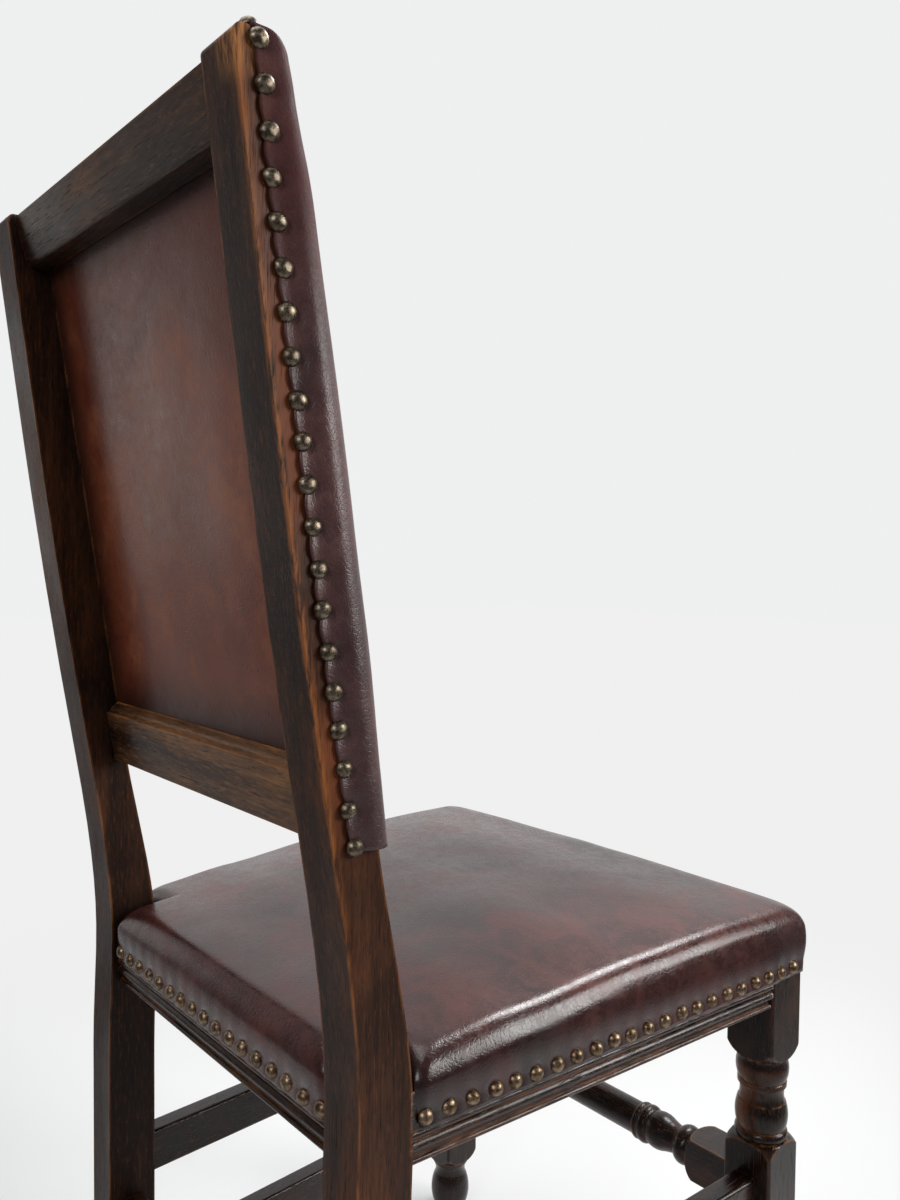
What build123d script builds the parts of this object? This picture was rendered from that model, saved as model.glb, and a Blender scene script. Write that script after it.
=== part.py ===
from build123d import *
import math
import os

# Side chair with a raked leather-covered back, a stuffed leather seat, reeded seat rails and
# turned front legs joined by a turned stretcher.
# Millimetres, +Z up. The sitter faces -Y and +X is the sitter's left.
# Depths are measured from the rear face of the rear legs' feet, forwards negative. The finished
# pieces are then moved back so that the chair's bounding box is centred on the origin.

# Rear legs, which run up into the raked stiles of the back
chair_height = 1026
rear_width = 400
rear_leg_width = 36
foot_depth = 40.7
seat_level_depth = 39.4
back_middle_depth = 31.5
stile_top_depth = 27.2
knee_start_height = 330
knee_height = 435
knee_set_forward = 2.8
back_middle_share = 0.4977
rake_at_back_rail = 21.6
rake_at_middle = 52.3
rake_at_top = 78.8
back_front_height = 599
back_front_set = 14.2
stile_top_round = 5
top_front_round = 10

# Front legs
front_width = 449
leg_block = 44
front_reach = 445
leg_top_height = 440
upper_block_bottom = 342
lower_block_top = 272
lower_block_bottom = 58
shoulder_drop = 20
lower_shoulder_drop = 13
tangent_relief = 0.1
leg_arris = 3

# Seat rails
rail_top = leg_top_height
rail_bottom = 392.7
rail_thickness = 24
rear_rail_inset = 8
moulding_height = 22.3
moulding_depth = 4.2
tenon_thickness = 9
tenon_length = 12
tenon_shoulder = 6

# Back rails
crest_rail_height = 39
crest_recess_top = 5.5
crest_recess_bottom = 9.8
crest_arris = 3
back_rail_top = 627.8
back_rail_height = 40.6
back_rail_recess = 20.2
back_rail_bevel = 8.5
crest_tenon_thickness = 8
crest_tenon_set = 6
back_rail_tenon_thickness = 5
back_rail_tenon_set = 2.5
back_tenon_length = 14

# Stretchers
side_stretcher_width = 20
side_stretcher_height = 36
upper_stretcher_top = 245
lower_stretcher_top = 128
rear_stretcher_top = 200
stretcher_arris = 2
front_stretcher_height = 226
front_stretcher_block = 36
front_stretcher_block_length = 44
front_stretcher_radius = 14.6
front_stretcher_ring = 17.4
front_stretcher_turned_end = 62

# Glue blocks in the corners of the seat frame
glue_block_leg = 62
glue_block_height = 34
glue_block_drop = 3

# Seat upholstery
leather_thickness = 2
seat_leather_drop = 25
seat_edge_rise = 26
seat_edge_radius = 15
seat_crown_rise = 16
seat_rear_drop = 9
seat_front_drop = 3
seat_end_roll = 22
seat_leg_gap = 4
face_relief = 1
webbing_thickness = 2
webbing_width = 52
hessian_thickness = 1
soft_clearance = 0.3

# Back upholstery
back_leather_edge = 11
back_leather_bottom = 594
back_panel_overlap = 10
back_side_puff = 9
back_crown_rise = 14
back_pad_margin = 14
back_layer = 1
back_webbing_width = 50

# Brass upholstery nails
stud_radius = 5
stud_height = 3.2
seat_stud_drop = 17.5
seat_side_stud_count = 22
seat_front_stud_count = 25
seat_rear_stud_count = 17
seat_stud_end = 6
seat_stud_front_end = 17.5
back_stud_set = 13.5
back_side_stud_count = 20
back_end_stud_count = 18
back_stud_top_end = 5.5
back_stud_bottom_end = 3
back_end_stud_inset = 6
back_top_stud_set = 21
back_top_corner_stud_set = 12.5
back_bottom_stud_rise = 8

# Cutting overrun, used wherever a cut or an intersection must pass a face
overrun = 30

# Derived places
back_middle_height = back_rail_top + back_middle_share * (chair_height - back_rail_top)
seat_leather_bottom = rail_top - seat_leather_drop
seat_edge_height = rail_top + seat_edge_rise
seat_stud_height = rail_top - seat_stud_drop
front_half = front_width / 2
rear_half = rear_width / 2
rear_inner = rear_half - rear_leg_width
leg_rear_face = -front_reach + leg_block
leg_axis_x = front_half - leg_block / 2
leg_axis_y = -front_reach + leg_block / 2
rear_leg_axis_x = rear_half - rear_leg_width / 2
rear_leg_front = -foot_depth
splay = (front_half - rear_half) / (rear_leg_front - leg_rear_face)
back_front_slope = (rake_at_top - stile_top_depth + back_front_set) / (chair_height - back_front_height)
skirt_top = rail_top + webbing_thickness
back_reach = rake_at_top
seat_reach = front_reach + leather_thickness + stud_height
centre_shift = (seat_reach - back_reach) / 2

# Shares of the moulding's depth and height, from its lower edge up: the bead, the broad reed and
# the narrow reed, each as an arc (depth, height at mid arc, then depth, height at its end).
moulding_shares = (
    (0.95, 0.0),
    (0.45, 0.08, 0.95, 0.17),
    (1.0, 0.34),
    (0.0, 0.52, 0.8, 0.69),
    (0.8, 0.73),
    (0.0, 0.85, 0.7, 0.98),
    (0.0, 1.0),
)

# Where a square block is turned away into a shoulder: the neck and the middle of the curve as
# shares of half the block, and the height of that middle as a share of the drop.
leg_neck_share, leg_bow_share, leg_bow_height_share = 0.95, 1.28, 0.36
stretcher_neck_share, stretcher_bow_share = 0.8, 1.12
stretcher_bow_place_share, stretcher_shoulder_share = 0.12, 0.45

# Turning between the leg's two square blocks, from its lower end up: radius as a share of half
# the block, height as a share of the turned length. Four numbers are an arc through a mid point.
leg_turning_shares = (
    (0.93, 0.0),
    (1.0, 0.05, 0.93, 0.11),
    (0.90, 0.12),
    (0.94, 0.14),
    (1.0, 0.29, 0.91, 0.44),
    (0.87, 0.45),
    (0.83, 0.54, 0.87, 0.63),
    (0.93, 0.645),
    (0.93, 0.70),
    (0.90, 0.71),
    (1.0, 0.84, 0.95, 0.96),
    (0.95, 1.0),
)

# Turned foot under the lower block, from the floor up, as shares of half the block and of the
# foot's height.
foot_shares = (
    (0.72, 0.0),
    (1.0, 0.36, 0.86, 0.66),
    (0.80, 0.70),
    (0.78, 0.80, 0.88, 0.92),
    (0.93, 0.95),
    (0.93, 1.0),
)

# Turning at each end of the front stretcher, from the plain middle towards the square block:
# radius as a share of the ring's radius, place as a share of the turned end's length.
stretcher_turning_shares = (
    (0.84, 0.0),
    (0.97, 0.04, 0.92, 0.09),
    (0.90, 0.10),
    (1.0, 0.16, 0.90, 0.24),
    (0.84, 0.25),
    (0.95, 0.38, 0.84, 0.55),
    (0.74, 0.66),
    (0.70, 0.74),
    (0.86, 0.77),
    (1.0, 0.87, 0.88, 0.97),
    (0.80, 1.0),
)

# Heights and forward puff of the back cushion: share of its height, share of the side puff,
# share of the extra crown at the middle.
back_section_shares = (
    (0.0, 0.42, 0.2),
    (0.06, 0.60, 0.6),
    (0.28, 0.95, 0.95),
    (0.52, 1.0, 1.0),
    (0.78, 0.72, 0.95),
    (0.93, 0.45, 0.75),
    (1.0, 0.28, 0.25),
)

# Depths and crown of the seat cushion: share of its length from front to rear, share of the
# crown's rise, share of the edge's drop at that end.
seat_section_shares = (
    (-0.02, 0.35, 1.0),
    (0.22, 0.8, 0.35),
    (0.5, 1.0, 0.0),
    (0.78, 0.85, 0.3),
    (1.02, 0.45, 1.0),
)


def outline(points):
    """Close a run of lines and arcs into a face. A pair is a line's end, four numbers an arc's
    mid point and end."""
    edges = []
    here = points[0]
    for step in points[1:]:
        end = step[-2:]
        if len(step) == 2:
            edges.append(Line(here, end))
        else:
            edges.append(ThreePointArc(here, step[:2], end))
        here = end
    edges.append(Line(here, points[0]))
    return Face(Wire(edges))


def scaled(shares, size_a, size_b, start_b=0):
    """Turn a table of shares into places: the first of each pair times size_a, the second
    times size_b from start_b."""
    return [
        tuple(
            value * size_a if index % 2 == 0 else start_b + value * size_b
            for index, value in enumerate(step)
        )
        for step in shares
    ]


def both_sides(solid):
    """The piece for the sitter's left and its mirror image for the right."""
    return {"left": solid, "right": mirror(solid, Plane.YZ)}


def side_x(y):
    """Outer face of the splayed seat side at a depth."""
    return rear_half + (rear_leg_front - y) * splay


def stile_front(z):
    """Front face of the raked stile at a height."""
    return -back_front_set + (z - back_front_height) * back_front_slope


def side_bar(face_at_front, y_front, y_rear, slope):
    """Sweep a profile drawn in the plane y=0 from one depth back to another along the splay."""
    length = y_rear - y_front
    return Solid.extrude(face_at_front.moved(Location((0, y_front, 0))), Vector(-slope * length, length, 0))


def across_x(face, half_length):
    """Sweep a profile of depths and heights right across the chair, to both sides of its middle."""
    return Solid.extrude((Plane.YZ * face).moved(Pos(-half_length, 0, 0)), Vector(2 * half_length, 0, 0))


def upwards(face, low, high):
    """Raise a plan outline between two heights."""
    return Solid.extrude(face.moved(Pos(0, 0, low)), Vector(0, 0, high - low))


def box_between(x_range, y_range, z_range):
    """Box from its corner planes."""
    size = [high - low for low, high in (x_range, y_range, z_range)]
    middle = [(high + low) / 2 for low, high in (x_range, y_range, z_range)]
    return Pos(*middle) * Box(*size)


# Rear legs: one long stave each, straight below the seat and raked above it.
rear_curve = Spline(
    (0, knee_start_height),
    (-knee_set_forward, knee_height),
    (rake_at_back_rail, back_rail_top),
    (rake_at_middle, back_middle_height),
    (rake_at_top, chair_height),
    tangents=[(0, 1), (rake_at_top - rake_at_middle, chair_height - back_middle_height)],
)
front_curve = Spline(
    (-foot_depth, knee_start_height),
    (-knee_set_forward - seat_level_depth, knee_height),
    (-back_front_set, back_front_height),
    tangents=[(0, 1), (back_front_slope, 1)],
)
front_round_start = stile_front(chair_height) + top_front_round
front_round_middle = top_front_round * (1 - math.sqrt(0.5))
front_round_end = (stile_front(chair_height - top_front_round), chair_height - top_front_round)
front_round_arc = (
    stile_front(chair_height) + front_round_middle,
    chair_height - front_round_middle,
    *front_round_end,
)
stave_face = Face(Wire([
    Line((0, 0), (0, knee_start_height)),
    rear_curve,
    Line((rake_at_top, chair_height), (front_round_start, chair_height)),
    ThreePointArc((front_round_start, chair_height), front_round_arc[:2], front_round_end),
    Line(front_round_end, (-back_front_set, back_front_height)),
    front_curve,
    Line((-foot_depth, knee_start_height), (-foot_depth, 0)),
    Line((-foot_depth, 0), (0, 0)),
]))
rear_leg = Solid.extrude((Plane.YZ * stave_face).moved(Pos(rear_inner, 0, 0)), Vector(rear_leg_width, 0, 0))
top_rear_edge = rear_leg.edges().filter_by(Axis.X).sort_by(Axis.Y)[-1]
rear_leg = fillet(top_rear_edge, stile_top_round)


def rake(z):
    """Rear face of the raked stile at a height, by the curve through its three upper stations."""
    stations = (
        (back_rail_top, rake_at_back_rail),
        (back_middle_height, rake_at_middle),
        (chair_height, rake_at_top),
    )
    total = 0
    for height, depth in stations:
        term = depth
        for other, _ in stations:
            if other != height:
                term *= (z - other) / (height - other)
        total += term
    return total


# Crest rail and lower back rail, tenoned between the stiles.
crest_bottom = chair_height - crest_rail_height
crest_face = outline([
    (stile_front(crest_bottom), crest_bottom),
    (rake(crest_bottom) - crest_recess_bottom - crest_arris, crest_bottom),
    (rake(crest_bottom) - crest_recess_bottom, crest_bottom + crest_arris),
    (rake(chair_height) - crest_recess_top, chair_height - crest_arris),
    (rake(chair_height) - crest_recess_top - crest_arris, chair_height),
    (front_round_start, chair_height),
    front_round_arc,
])
back_rail_bottom = back_rail_top - back_rail_height
back_rail_rear_top = rake_at_back_rail - back_rail_recess
back_rail_rear_bottom = rake(back_rail_bottom) - back_rail_recess
back_rail_front_bottom = stile_front(back_rail_bottom)
back_rail_face = outline([
    (back_rail_front_bottom, back_rail_bottom),
    (back_rail_rear_bottom, back_rail_bottom),
    (back_rail_rear_top, back_rail_top),
    (back_rail_rear_top - back_rail_bevel / 2, back_rail_top + back_rail_bevel / 3),
    (back_rail_rear_top - back_rail_bevel / 2, back_rail_top + back_rail_bevel / 2),
    (stile_front(back_rail_top + back_rail_bevel), back_rail_top + back_rail_bevel),
])


def between_stiles(face, tenon_low, tenon_high, tenon_set, tenon_thickness_here):
    """A rail between the stiles with a raked tenon at each end."""
    rail = across_x(face, rear_inner)
    low_front = stile_front(tenon_low) + tenon_set
    high_front = stile_front(tenon_high) + tenon_set
    tenon = outline([
        (low_front, tenon_low),
        (low_front + tenon_thickness_here, tenon_low),
        (high_front + tenon_thickness_here, tenon_high),
        (high_front, tenon_high),
    ])
    return rail + across_x(tenon, rear_inner + back_tenon_length)


crest_rail = between_stiles(
    crest_face,
    crest_bottom + tenon_shoulder,
    chair_height - 2 * tenon_shoulder,
    crest_tenon_set,
    crest_tenon_thickness,
)
lower_back_rail = between_stiles(
    back_rail_face,
    back_rail_bottom + tenon_shoulder,
    back_rail_top - tenon_shoulder,
    back_rail_tenon_set,
    back_rail_tenon_thickness,
)

# Seat rails: a plain upper part under the leather and a reeded lower part left bare.
moulding_top = rail_bottom + moulding_height


def rail_outline(facing=1):
    """Cross-section of a seat rail: the show face at zero, its back on the other side of it."""
    steps = scaled(moulding_shares, -facing * moulding_depth, moulding_height, rail_bottom)
    back = -facing * rail_thickness
    return outline([(back, rail_bottom), *steps, (0, rail_top), (back, rail_top)])


def rail_tenon(low_share, high_share, facing=1):
    """Cross-section of a seat rail's tenon, centred on the wood behind the moulding."""
    middle = -facing * (rail_thickness + moulding_depth) / 2
    height = rail_top - rail_bottom
    return outline([
        (middle - tenon_thickness / 2, rail_bottom + low_share * height),
        (middle + tenon_thickness / 2, rail_bottom + low_share * height),
        (middle + tenon_thickness / 2, rail_bottom + high_share * height),
        (middle - tenon_thickness / 2, rail_bottom + high_share * height),
    ])


# The tenons that meet in one leg pass over and under each other.
side_tenon_shares = (0.55, 0.9)
cross_tenon_shares = (0.12, 0.48)

side_rail_face = Plane.XZ * rail_outline()
side_rail = side_bar(side_rail_face.moved(Location((side_x(leg_rear_face), 0, 0))), leg_rear_face, rear_leg_front, splay)
side_tenon_face = Plane.XZ * rail_tenon(*side_tenon_shares)
side_tenon_front = leg_rear_face - tenon_length
side_tenon_rear = rear_leg_front + tenon_length
side_tenon = side_bar(
    side_tenon_face.moved(Location((side_x(side_tenon_front), 0, 0))), side_tenon_front, side_tenon_rear, splay
)
side_rail = side_rail + side_tenon

# Front and rear rails lie square between the legs. The profile is turned so that its show face
# looks forwards for the front rail and backwards for the rear one.
front_leg_inner = front_half - leg_block


def cross_rail(show_face_y, half_length, facing):
    """A seat rail across the chair, its show face at a depth, facing +1 to the rear or -1."""
    face = rail_outline(facing)
    tenon = rail_tenon(*cross_tenon_shares, facing)
    return Pos(0, show_face_y, 0) * (across_x(face, half_length) + across_x(tenon, half_length + tenon_length))


front_rail = cross_rail(-front_reach, front_leg_inner, -1)
rear_rail = cross_rail(-rear_rail_inset, rear_inner, 1)

# Stretchers between the legs, each with a tenon at both ends.
def bar_outline(top):
    """Cross-section of a plain stretcher with eased upper arrises, centred on zero."""
    half = side_stretcher_width / 2
    low = top - side_stretcher_height
    return outline([
        (-half, low),
        (half, low),
        (half, top - stretcher_arris),
        (half - stretcher_arris, top),
        (-half + stretcher_arris, top),
        (-half, top - stretcher_arris),
    ])


def tenon_outline(top):
    """Cross-section of a plain stretcher's tenon."""
    half = tenon_thickness / 2
    low = top - side_stretcher_height
    return outline([
        (-half, low + tenon_shoulder),
        (half, low + tenon_shoulder),
        (half, top - tenon_shoulder),
        (-half, top - tenon_shoulder),
    ])


stretcher_slope = (leg_axis_x - rear_leg_axis_x) / (rear_leg_front - leg_rear_face)


def side_stretcher(top):
    """Plain stretcher from front leg to rear leg on the sitter's left."""
    solids = []
    for face, reach in ((bar_outline(top), 0), (tenon_outline(top), tenon_length)):
        y_front = leg_rear_face - reach
        x_front = leg_axis_x + reach * stretcher_slope
        placed = (Plane.XZ * face).moved(Location((x_front, 0, 0)))
        solids.append(side_bar(placed, y_front, rear_leg_front + reach, stretcher_slope))
    return solids[0] + solids[1]


upper_stretcher = side_stretcher(upper_stretcher_top)
lower_stretcher = side_stretcher(lower_stretcher_top)

rear_stretcher_y = -foot_depth / 2
rear_stretcher = Pos(0, rear_stretcher_y, 0) * (
    across_x(bar_outline(rear_stretcher_top), rear_inner)
    + across_x(tenon_outline(rear_stretcher_top), rear_inner + tenon_length)
)

# Front stretcher: square ends with rounded shoulders, beads and a short baluster at each end and
# a long plain cylinder between. Turned about X, centred on the chair.
block_inner_end = front_leg_inner - front_stretcher_block_length
turned_start = block_inner_end - front_stretcher_turned_end


def lathe_x(points):
    """Revolve an outline of (place, radius) pairs about the X axis."""
    return revolve(outline(points), Axis.X)


half_turning = scaled(
    [tuple(step[index ^ 1] for index in range(len(step))) for step in stretcher_turning_shares],
    front_stretcher_turned_end,
    front_stretcher_ring,
)
half_turning = [
    tuple(value + turned_start if index % 2 == 0 else value for index, value in enumerate(step))
    for step in half_turning
]
turned_half = lathe_x([(0, 0), (0, front_stretcher_radius), *half_turning, (block_inner_end, 0)])
block_half = front_stretcher_block / 2
block_reach = block_half * math.sqrt(2) + tangent_relief
square_end = box_between(
    (block_inner_end, front_leg_inner), (-block_half, block_half), (-block_half, block_half)
)
end_shoulder = lathe_x([
    (block_inner_end, 0),
    (block_inner_end, block_half * stretcher_neck_share),
    (
        block_inner_end + shoulder_drop * stretcher_bow_place_share,
        block_half * stretcher_bow_share,
        block_inner_end + shoulder_drop * stretcher_shoulder_share,
        block_reach,
    ),
    (front_leg_inner, block_reach),
    (front_leg_inner, 0),
])
stretcher_tenon = box_between(
    (front_leg_inner, front_leg_inner + tenon_length),
    (-tenon_thickness / 2, tenon_thickness / 2),
    (-block_half + tenon_shoulder, block_half - tenon_shoulder),
)
stretcher_half = turned_half + (square_end & end_shoulder) + stretcher_tenon
front_stretcher = Pos(0, leg_axis_y, front_stretcher_height) * (stretcher_half + mirror(stretcher_half, Plane.YZ))

# Front legs: square blocks where rails and stretchers enter, turned between, on a turned foot.
half_block = leg_block / 2
leg_reach = half_block * math.sqrt(2) + tangent_relief


def lathe_z(points):
    """Revolve an outline of (radius, height) pairs about the Z axis."""
    return revolve(Plane.XZ * outline(points), Axis.Z)


def square_block(low, high, low_drop, high_drop):
    """A length of square leg whose corners are turned away towards a given end."""
    body = box_between((-half_block, half_block), (-half_block, half_block), (low, high))
    body = fillet(body.edges().filter_by(Axis.Z), leg_arris)
    neck = half_block * leg_neck_share
    bow = half_block * leg_bow_share
    points = [(0, low)]
    if low_drop:
        points += [
            (neck, low),
            (bow, low + low_drop * leg_bow_height_share, leg_reach, low + low_drop),
        ]
    else:
        points += [(leg_reach, low)]
    if high_drop:
        points += [
            (leg_reach, high - high_drop),
            (bow, high - high_drop * leg_bow_height_share, neck, high),
        ]
    else:
        points += [(leg_reach, high)]
    points += [(0, high)]
    return body & lathe_z(points)


turned_leg = lathe_z([
    (0, lower_block_top),
    *scaled(leg_turning_shares, half_block - tangent_relief, upper_block_bottom - lower_block_top, lower_block_top),
    (0, upper_block_bottom),
])
foot = lathe_z([
    (0, 0),
    *scaled(foot_shares, half_block - tangent_relief, lower_block_bottom),
    (0, lower_block_bottom),
])
front_leg = Pos(leg_axis_x, leg_axis_y, 0) * (
    square_block(upper_block_bottom, leg_top_height, shoulder_drop, 0)
    + turned_leg
    + square_block(lower_block_bottom, lower_block_top, shoulder_drop, lower_shoulder_drop)
    + foot
)

# Mortises: each leg is cut by what enters it.
for piece in (side_rail, front_rail, upper_stretcher, lower_stretcher, front_stretcher):
    front_leg = front_leg - piece
for piece in (side_rail, rear_rail, upper_stretcher, lower_stretcher, rear_stretcher, crest_rail, lower_back_rail):
    rear_leg = rear_leg - piece

# Glue blocks, each fitted round the leg in its corner of the seat frame.
block_high = rail_top - glue_block_drop
block_low = block_high - glue_block_height


def glue_block(corner_y, inward):
    """Three-cornered block against a cross rail at corner_y and the splayed side rail."""
    corner_x = side_x(corner_y) - rail_thickness
    far_y = corner_y + inward * glue_block_leg
    far_x = side_x(far_y) - rail_thickness
    face = outline([(corner_x, corner_y), (far_x, far_y), (corner_x - glue_block_leg, corner_y)])
    return upwards(face, block_low, block_high)


front_glue_block = glue_block(-front_reach + rail_thickness, 1) - box_between(
    (front_leg_inner, front_half), (-front_reach, leg_rear_face), (0, leg_top_height)
)
rear_glue_block = glue_block(-rear_rail_inset - rail_thickness, -1) - box_between(
    (rear_inner, rear_half), (-foot_depth - knee_set_forward, 0), (0, leg_top_height)
)

# Seat webbing woven across the rails, and the hessian that carries the stuffing.
def seat_plan(inset):
    """Plan of the leather's outer face drawn in by an inset, notched round the rear legs."""
    grow = leather_thickness - inset
    rear_x = rear_inner - seat_leg_gap - inset
    notch_y = rear_leg_front - seat_leg_gap - inset
    right = [
        (rear_x, -rear_rail_inset + grow),
        (rear_x, notch_y),
        (side_x(notch_y) + grow, notch_y),
        (front_half + grow, leg_rear_face),
        (front_half + grow, -front_reach - grow),
    ]
    return Face(Wire.make_polygon(right + [(-x, y) for x, y in reversed(right)]))


def seat_prism(inset, low, high):
    """The seat's plan between two heights, its front corners rounded."""
    prism = upwards(seat_plan(inset), low, high)
    corners = prism.edges().filter_by(Axis.Z).sort_by(Axis.Y)[:2]
    return fillet(corners, leg_arris + leather_thickness - min(inset, leather_thickness))


webbing_low = rail_top
inner_side = rail_thickness / 3
strap_back = -rear_rail_inset - inner_side
strap_front = -front_reach + inner_side
strap_depth = strap_back - strap_front
strap_places_shares = (0.22, 0.5, 0.78)
seat_webbing = None
for share in strap_places_shares:
    x = (share * 2 - 1) * rear_half
    y = strap_front + share * strap_depth
    reach = side_x(y) - inner_side
    across = box_between(
        (-reach, reach),
        (y - webbing_width / 2, y + webbing_width / 2),
        (webbing_low, webbing_low + webbing_thickness),
    )
    along = box_between(
        (x - webbing_width / 2, x + webbing_width / 2),
        (strap_front, strap_back),
        (webbing_low, webbing_low + webbing_thickness),
    )
    seat_webbing = across + along if seat_webbing is None else seat_webbing + across + along

hessian_low = webbing_low + webbing_thickness
seat_hessian = seat_prism(leather_thickness + soft_clearance, hessian_low, hessian_low + hessian_thickness)


def seat_form(inset, low):
    """The stuffed seat's crowned form above a height, drawn in by an inset. Cross-sections are
    lofted from front to rear, then the plan trims the sides and a rolled profile the ends."""
    front = -front_reach - leather_thickness + inset
    rear = -rear_rail_inset + leather_thickness - inset
    foot_level = seat_leather_bottom - 2 * overrun
    wires = []
    for place, crown, drop in seat_section_shares:
        y = front + place * (rear - front)
        end_drop = seat_front_drop if place < 0.5 else seat_rear_drop
        edge = seat_edge_height - drop * end_drop - inset
        top = edge + crown * seat_crown_rise
        half = side_x(y) + leather_thickness - inset + face_relief
        bend = seat_edge_radius
        inner = half - bend
        middle = bend * (1 - math.sqrt(0.5))
        face = outline([
            (-half, foot_level),
            (half, foot_level),
            (half, edge - bend),
            (half - middle, edge - middle, inner, edge),
            (0, top, -inner, edge),
            (-half + middle, edge - middle, -half, edge - bend),
        ])
        wires.append((Plane((0, y, 0), x_dir=(1, 0, 0), z_dir=(0, -1, 0)) * face).outer_wire())
    body = Solid.make_loft(wires)
    peak = seat_edge_height + seat_crown_rise
    roll = seat_end_roll
    rise = peak - rail_top
    ends = outline([
        (front - face_relief, foot_level),
        (rear + face_relief, foot_level),
        (rear + face_relief, rail_top),
        (rear + face_relief - roll * 0.3, rail_top + rise * 0.68, rear - roll, peak),
        (front + roll, peak),
        (front - face_relief + roll * 0.3, rail_top + rise * 0.68, front - face_relief, rail_top),
    ])
    return body & across_x(ends, front_half + overrun) & seat_prism(inset, low, peak + overrun)


# Below the top of the rails the leather hangs as a skirt on their faces, open round the legs.
skirt_y = rear_leg_front - seat_leg_gap
skirt_right = [
    (front_half + overrun, -rear_rail_inset),
    (front_half + overrun, skirt_y),
    (side_x(skirt_y), skirt_y),
    (front_half, leg_rear_face),
    (front_half, -front_reach),
]
skirt_hollow = upwards(
    Face(Wire.make_polygon(skirt_right + [(-x, y) for x, y in reversed(skirt_right)])),
    seat_leather_bottom - overrun,
    rail_top,
)
skirt_hollow = fillet(skirt_hollow.edges().filter_by(Axis.Z).sort_by(Axis.Y)[:2], leg_arris)
seat_leather = seat_form(0, seat_leather_bottom) - seat_form(leather_thickness, rail_top) - skirt_hollow
seat_padding = seat_form(leather_thickness + soft_clearance, hessian_low + hessian_thickness)

# Back upholstery, layered on the raked front of the frame.
def back_layer_sheet(half_width, low, high, depth):
    """A thin sheet lying the given depth in front of the stiles' front face."""
    face = outline([
        (stile_front(low) - depth, low),
        (stile_front(high) - depth, high),
        (stile_front(high) - depth - back_layer, high),
        (stile_front(low) - depth - back_layer, low),
    ])
    return across_x(face, half_width)


panel_half = rear_inner + back_panel_overlap
panel_low = back_rail_top + back_rail_bevel - back_panel_overlap
panel_high = crest_bottom + back_panel_overlap
back_leather_rear = back_layer_sheet(panel_half, panel_low, panel_high, 0)
panel_height = panel_high - panel_low
back_webbing = None
for share in strap_places_shares:
    z = panel_low + share * panel_height
    x = (share * 2 - 1) * rear_inner
    across = back_layer_sheet(panel_half, z - back_webbing_width / 2, z + back_webbing_width / 2, back_layer)
    upright = Pos(x, 0, 0) * back_layer_sheet(back_webbing_width / 2, panel_low, panel_high, back_layer)
    back_webbing = across + upright if back_webbing is None else back_webbing + across + upright
back_hessian = back_layer_sheet(panel_half, panel_low, panel_high, 2 * back_layer)


def back_form(inset, top, rear_extra):
    """The stuffed back's form up to a height, drawn in by an inset. Plan sections that follow
    the stile's front, puffed forwards and crowned, are lofted upwards."""
    span = chair_height - back_leather_bottom
    wires = []
    for place, puff, crown in back_section_shares:
        z = top if place == 1 else back_leather_bottom + place * span
        base = stile_front(z)
        forward = puff * back_side_puff - inset
        half = rear_half + leather_thickness - inset
        middle = forward * (1 - math.sqrt(0.5))
        rear = rake(z) - back_leather_edge + rear_extra
        face = outline([
            (-half, rear),
            (-half, base),
            (-half + middle, base - forward + middle, -half + forward, base - forward),
            (0, base - forward - crown * back_crown_rise, half - forward, base - forward),
            (half - middle, base - forward + middle, half, base),
            (half, rear),
        ])
        wires.append((Pos(0, 0, z) * face).outer_wire())
    return Solid.make_loft(wires)


def rounded_top(inset):
    """Prism whose front top arris follows the stiles' rounded one, less an inset from the leather."""
    grow = leather_thickness - inset
    aside = grow * math.sqrt(0.5)
    middle_y, middle_z, end_y, end_z = front_round_arc
    rear = rake_at_top + 2 * overrun
    low = back_leather_bottom - overrun
    face = outline([
        (rear, low),
        (rear, chair_height + grow),
        (front_round_start, chair_height + grow),
        (middle_y - aside, middle_z + aside, end_y - grow, end_z),
        (end_y - grow - overrun, end_z - overrun),
        (end_y - chair_height / 2, low),
    ])
    return across_x(face, rear_half + overrun)


back_leather_front = (back_form(0, chair_height + leather_thickness, 0) & rounded_top(0)) - (
    back_form(leather_thickness, chair_height, overrun) & rounded_top(leather_thickness)
)
pad_low = panel_low
pad_high = panel_high
pad_front = -back_side_puff - back_crown_rise - overrun
pad_cut = outline([
    (stile_front(pad_low) - 3 * back_layer, pad_low),
    (stile_front(pad_high) - 3 * back_layer, pad_high),
    (stile_front(pad_high) + pad_front, pad_high),
    (stile_front(pad_low) + pad_front, pad_low),
])
pad_half = rear_half - back_pad_margin
back_padding = back_form(leather_thickness + soft_clearance, chair_height, 0) & across_x(pad_cut, pad_half)

# Domed nails, each seated square on the leather where its axis meets it.
dome_radius = (stud_radius**2 + stud_height**2) / (2 * stud_height)
dome_half_angle = math.asin(stud_radius / dome_radius) / 2
dome = lathe_z([
    (0, 0),
    (stud_radius, 0),
    (
        dome_radius * math.sin(dome_half_angle),
        stud_height - dome_radius * (1 - math.cos(dome_half_angle)),
        0,
        stud_height,
    ),
]).solid()


def nail(leather, origin, direction):
    """A nail's dome on the first face of the leather met from an outside point."""
    axis = Axis(origin, direction)
    hits = leather.find_intersection_points(axis)
    point, normal = min(hits, key=lambda hit: (hit[0] - Vector(*origin)).dot(Vector(*direction)))
    if normal.dot(Vector(*direction)) > 0:
        normal = -normal
    return dome.moved(Plane(origin=point, z_dir=normal).location)


def spaced(first, last, count):
    """Evenly spaced places from first to last."""
    return [first + (last - first) * index / (count - 1) for index in range(count)]


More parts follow.
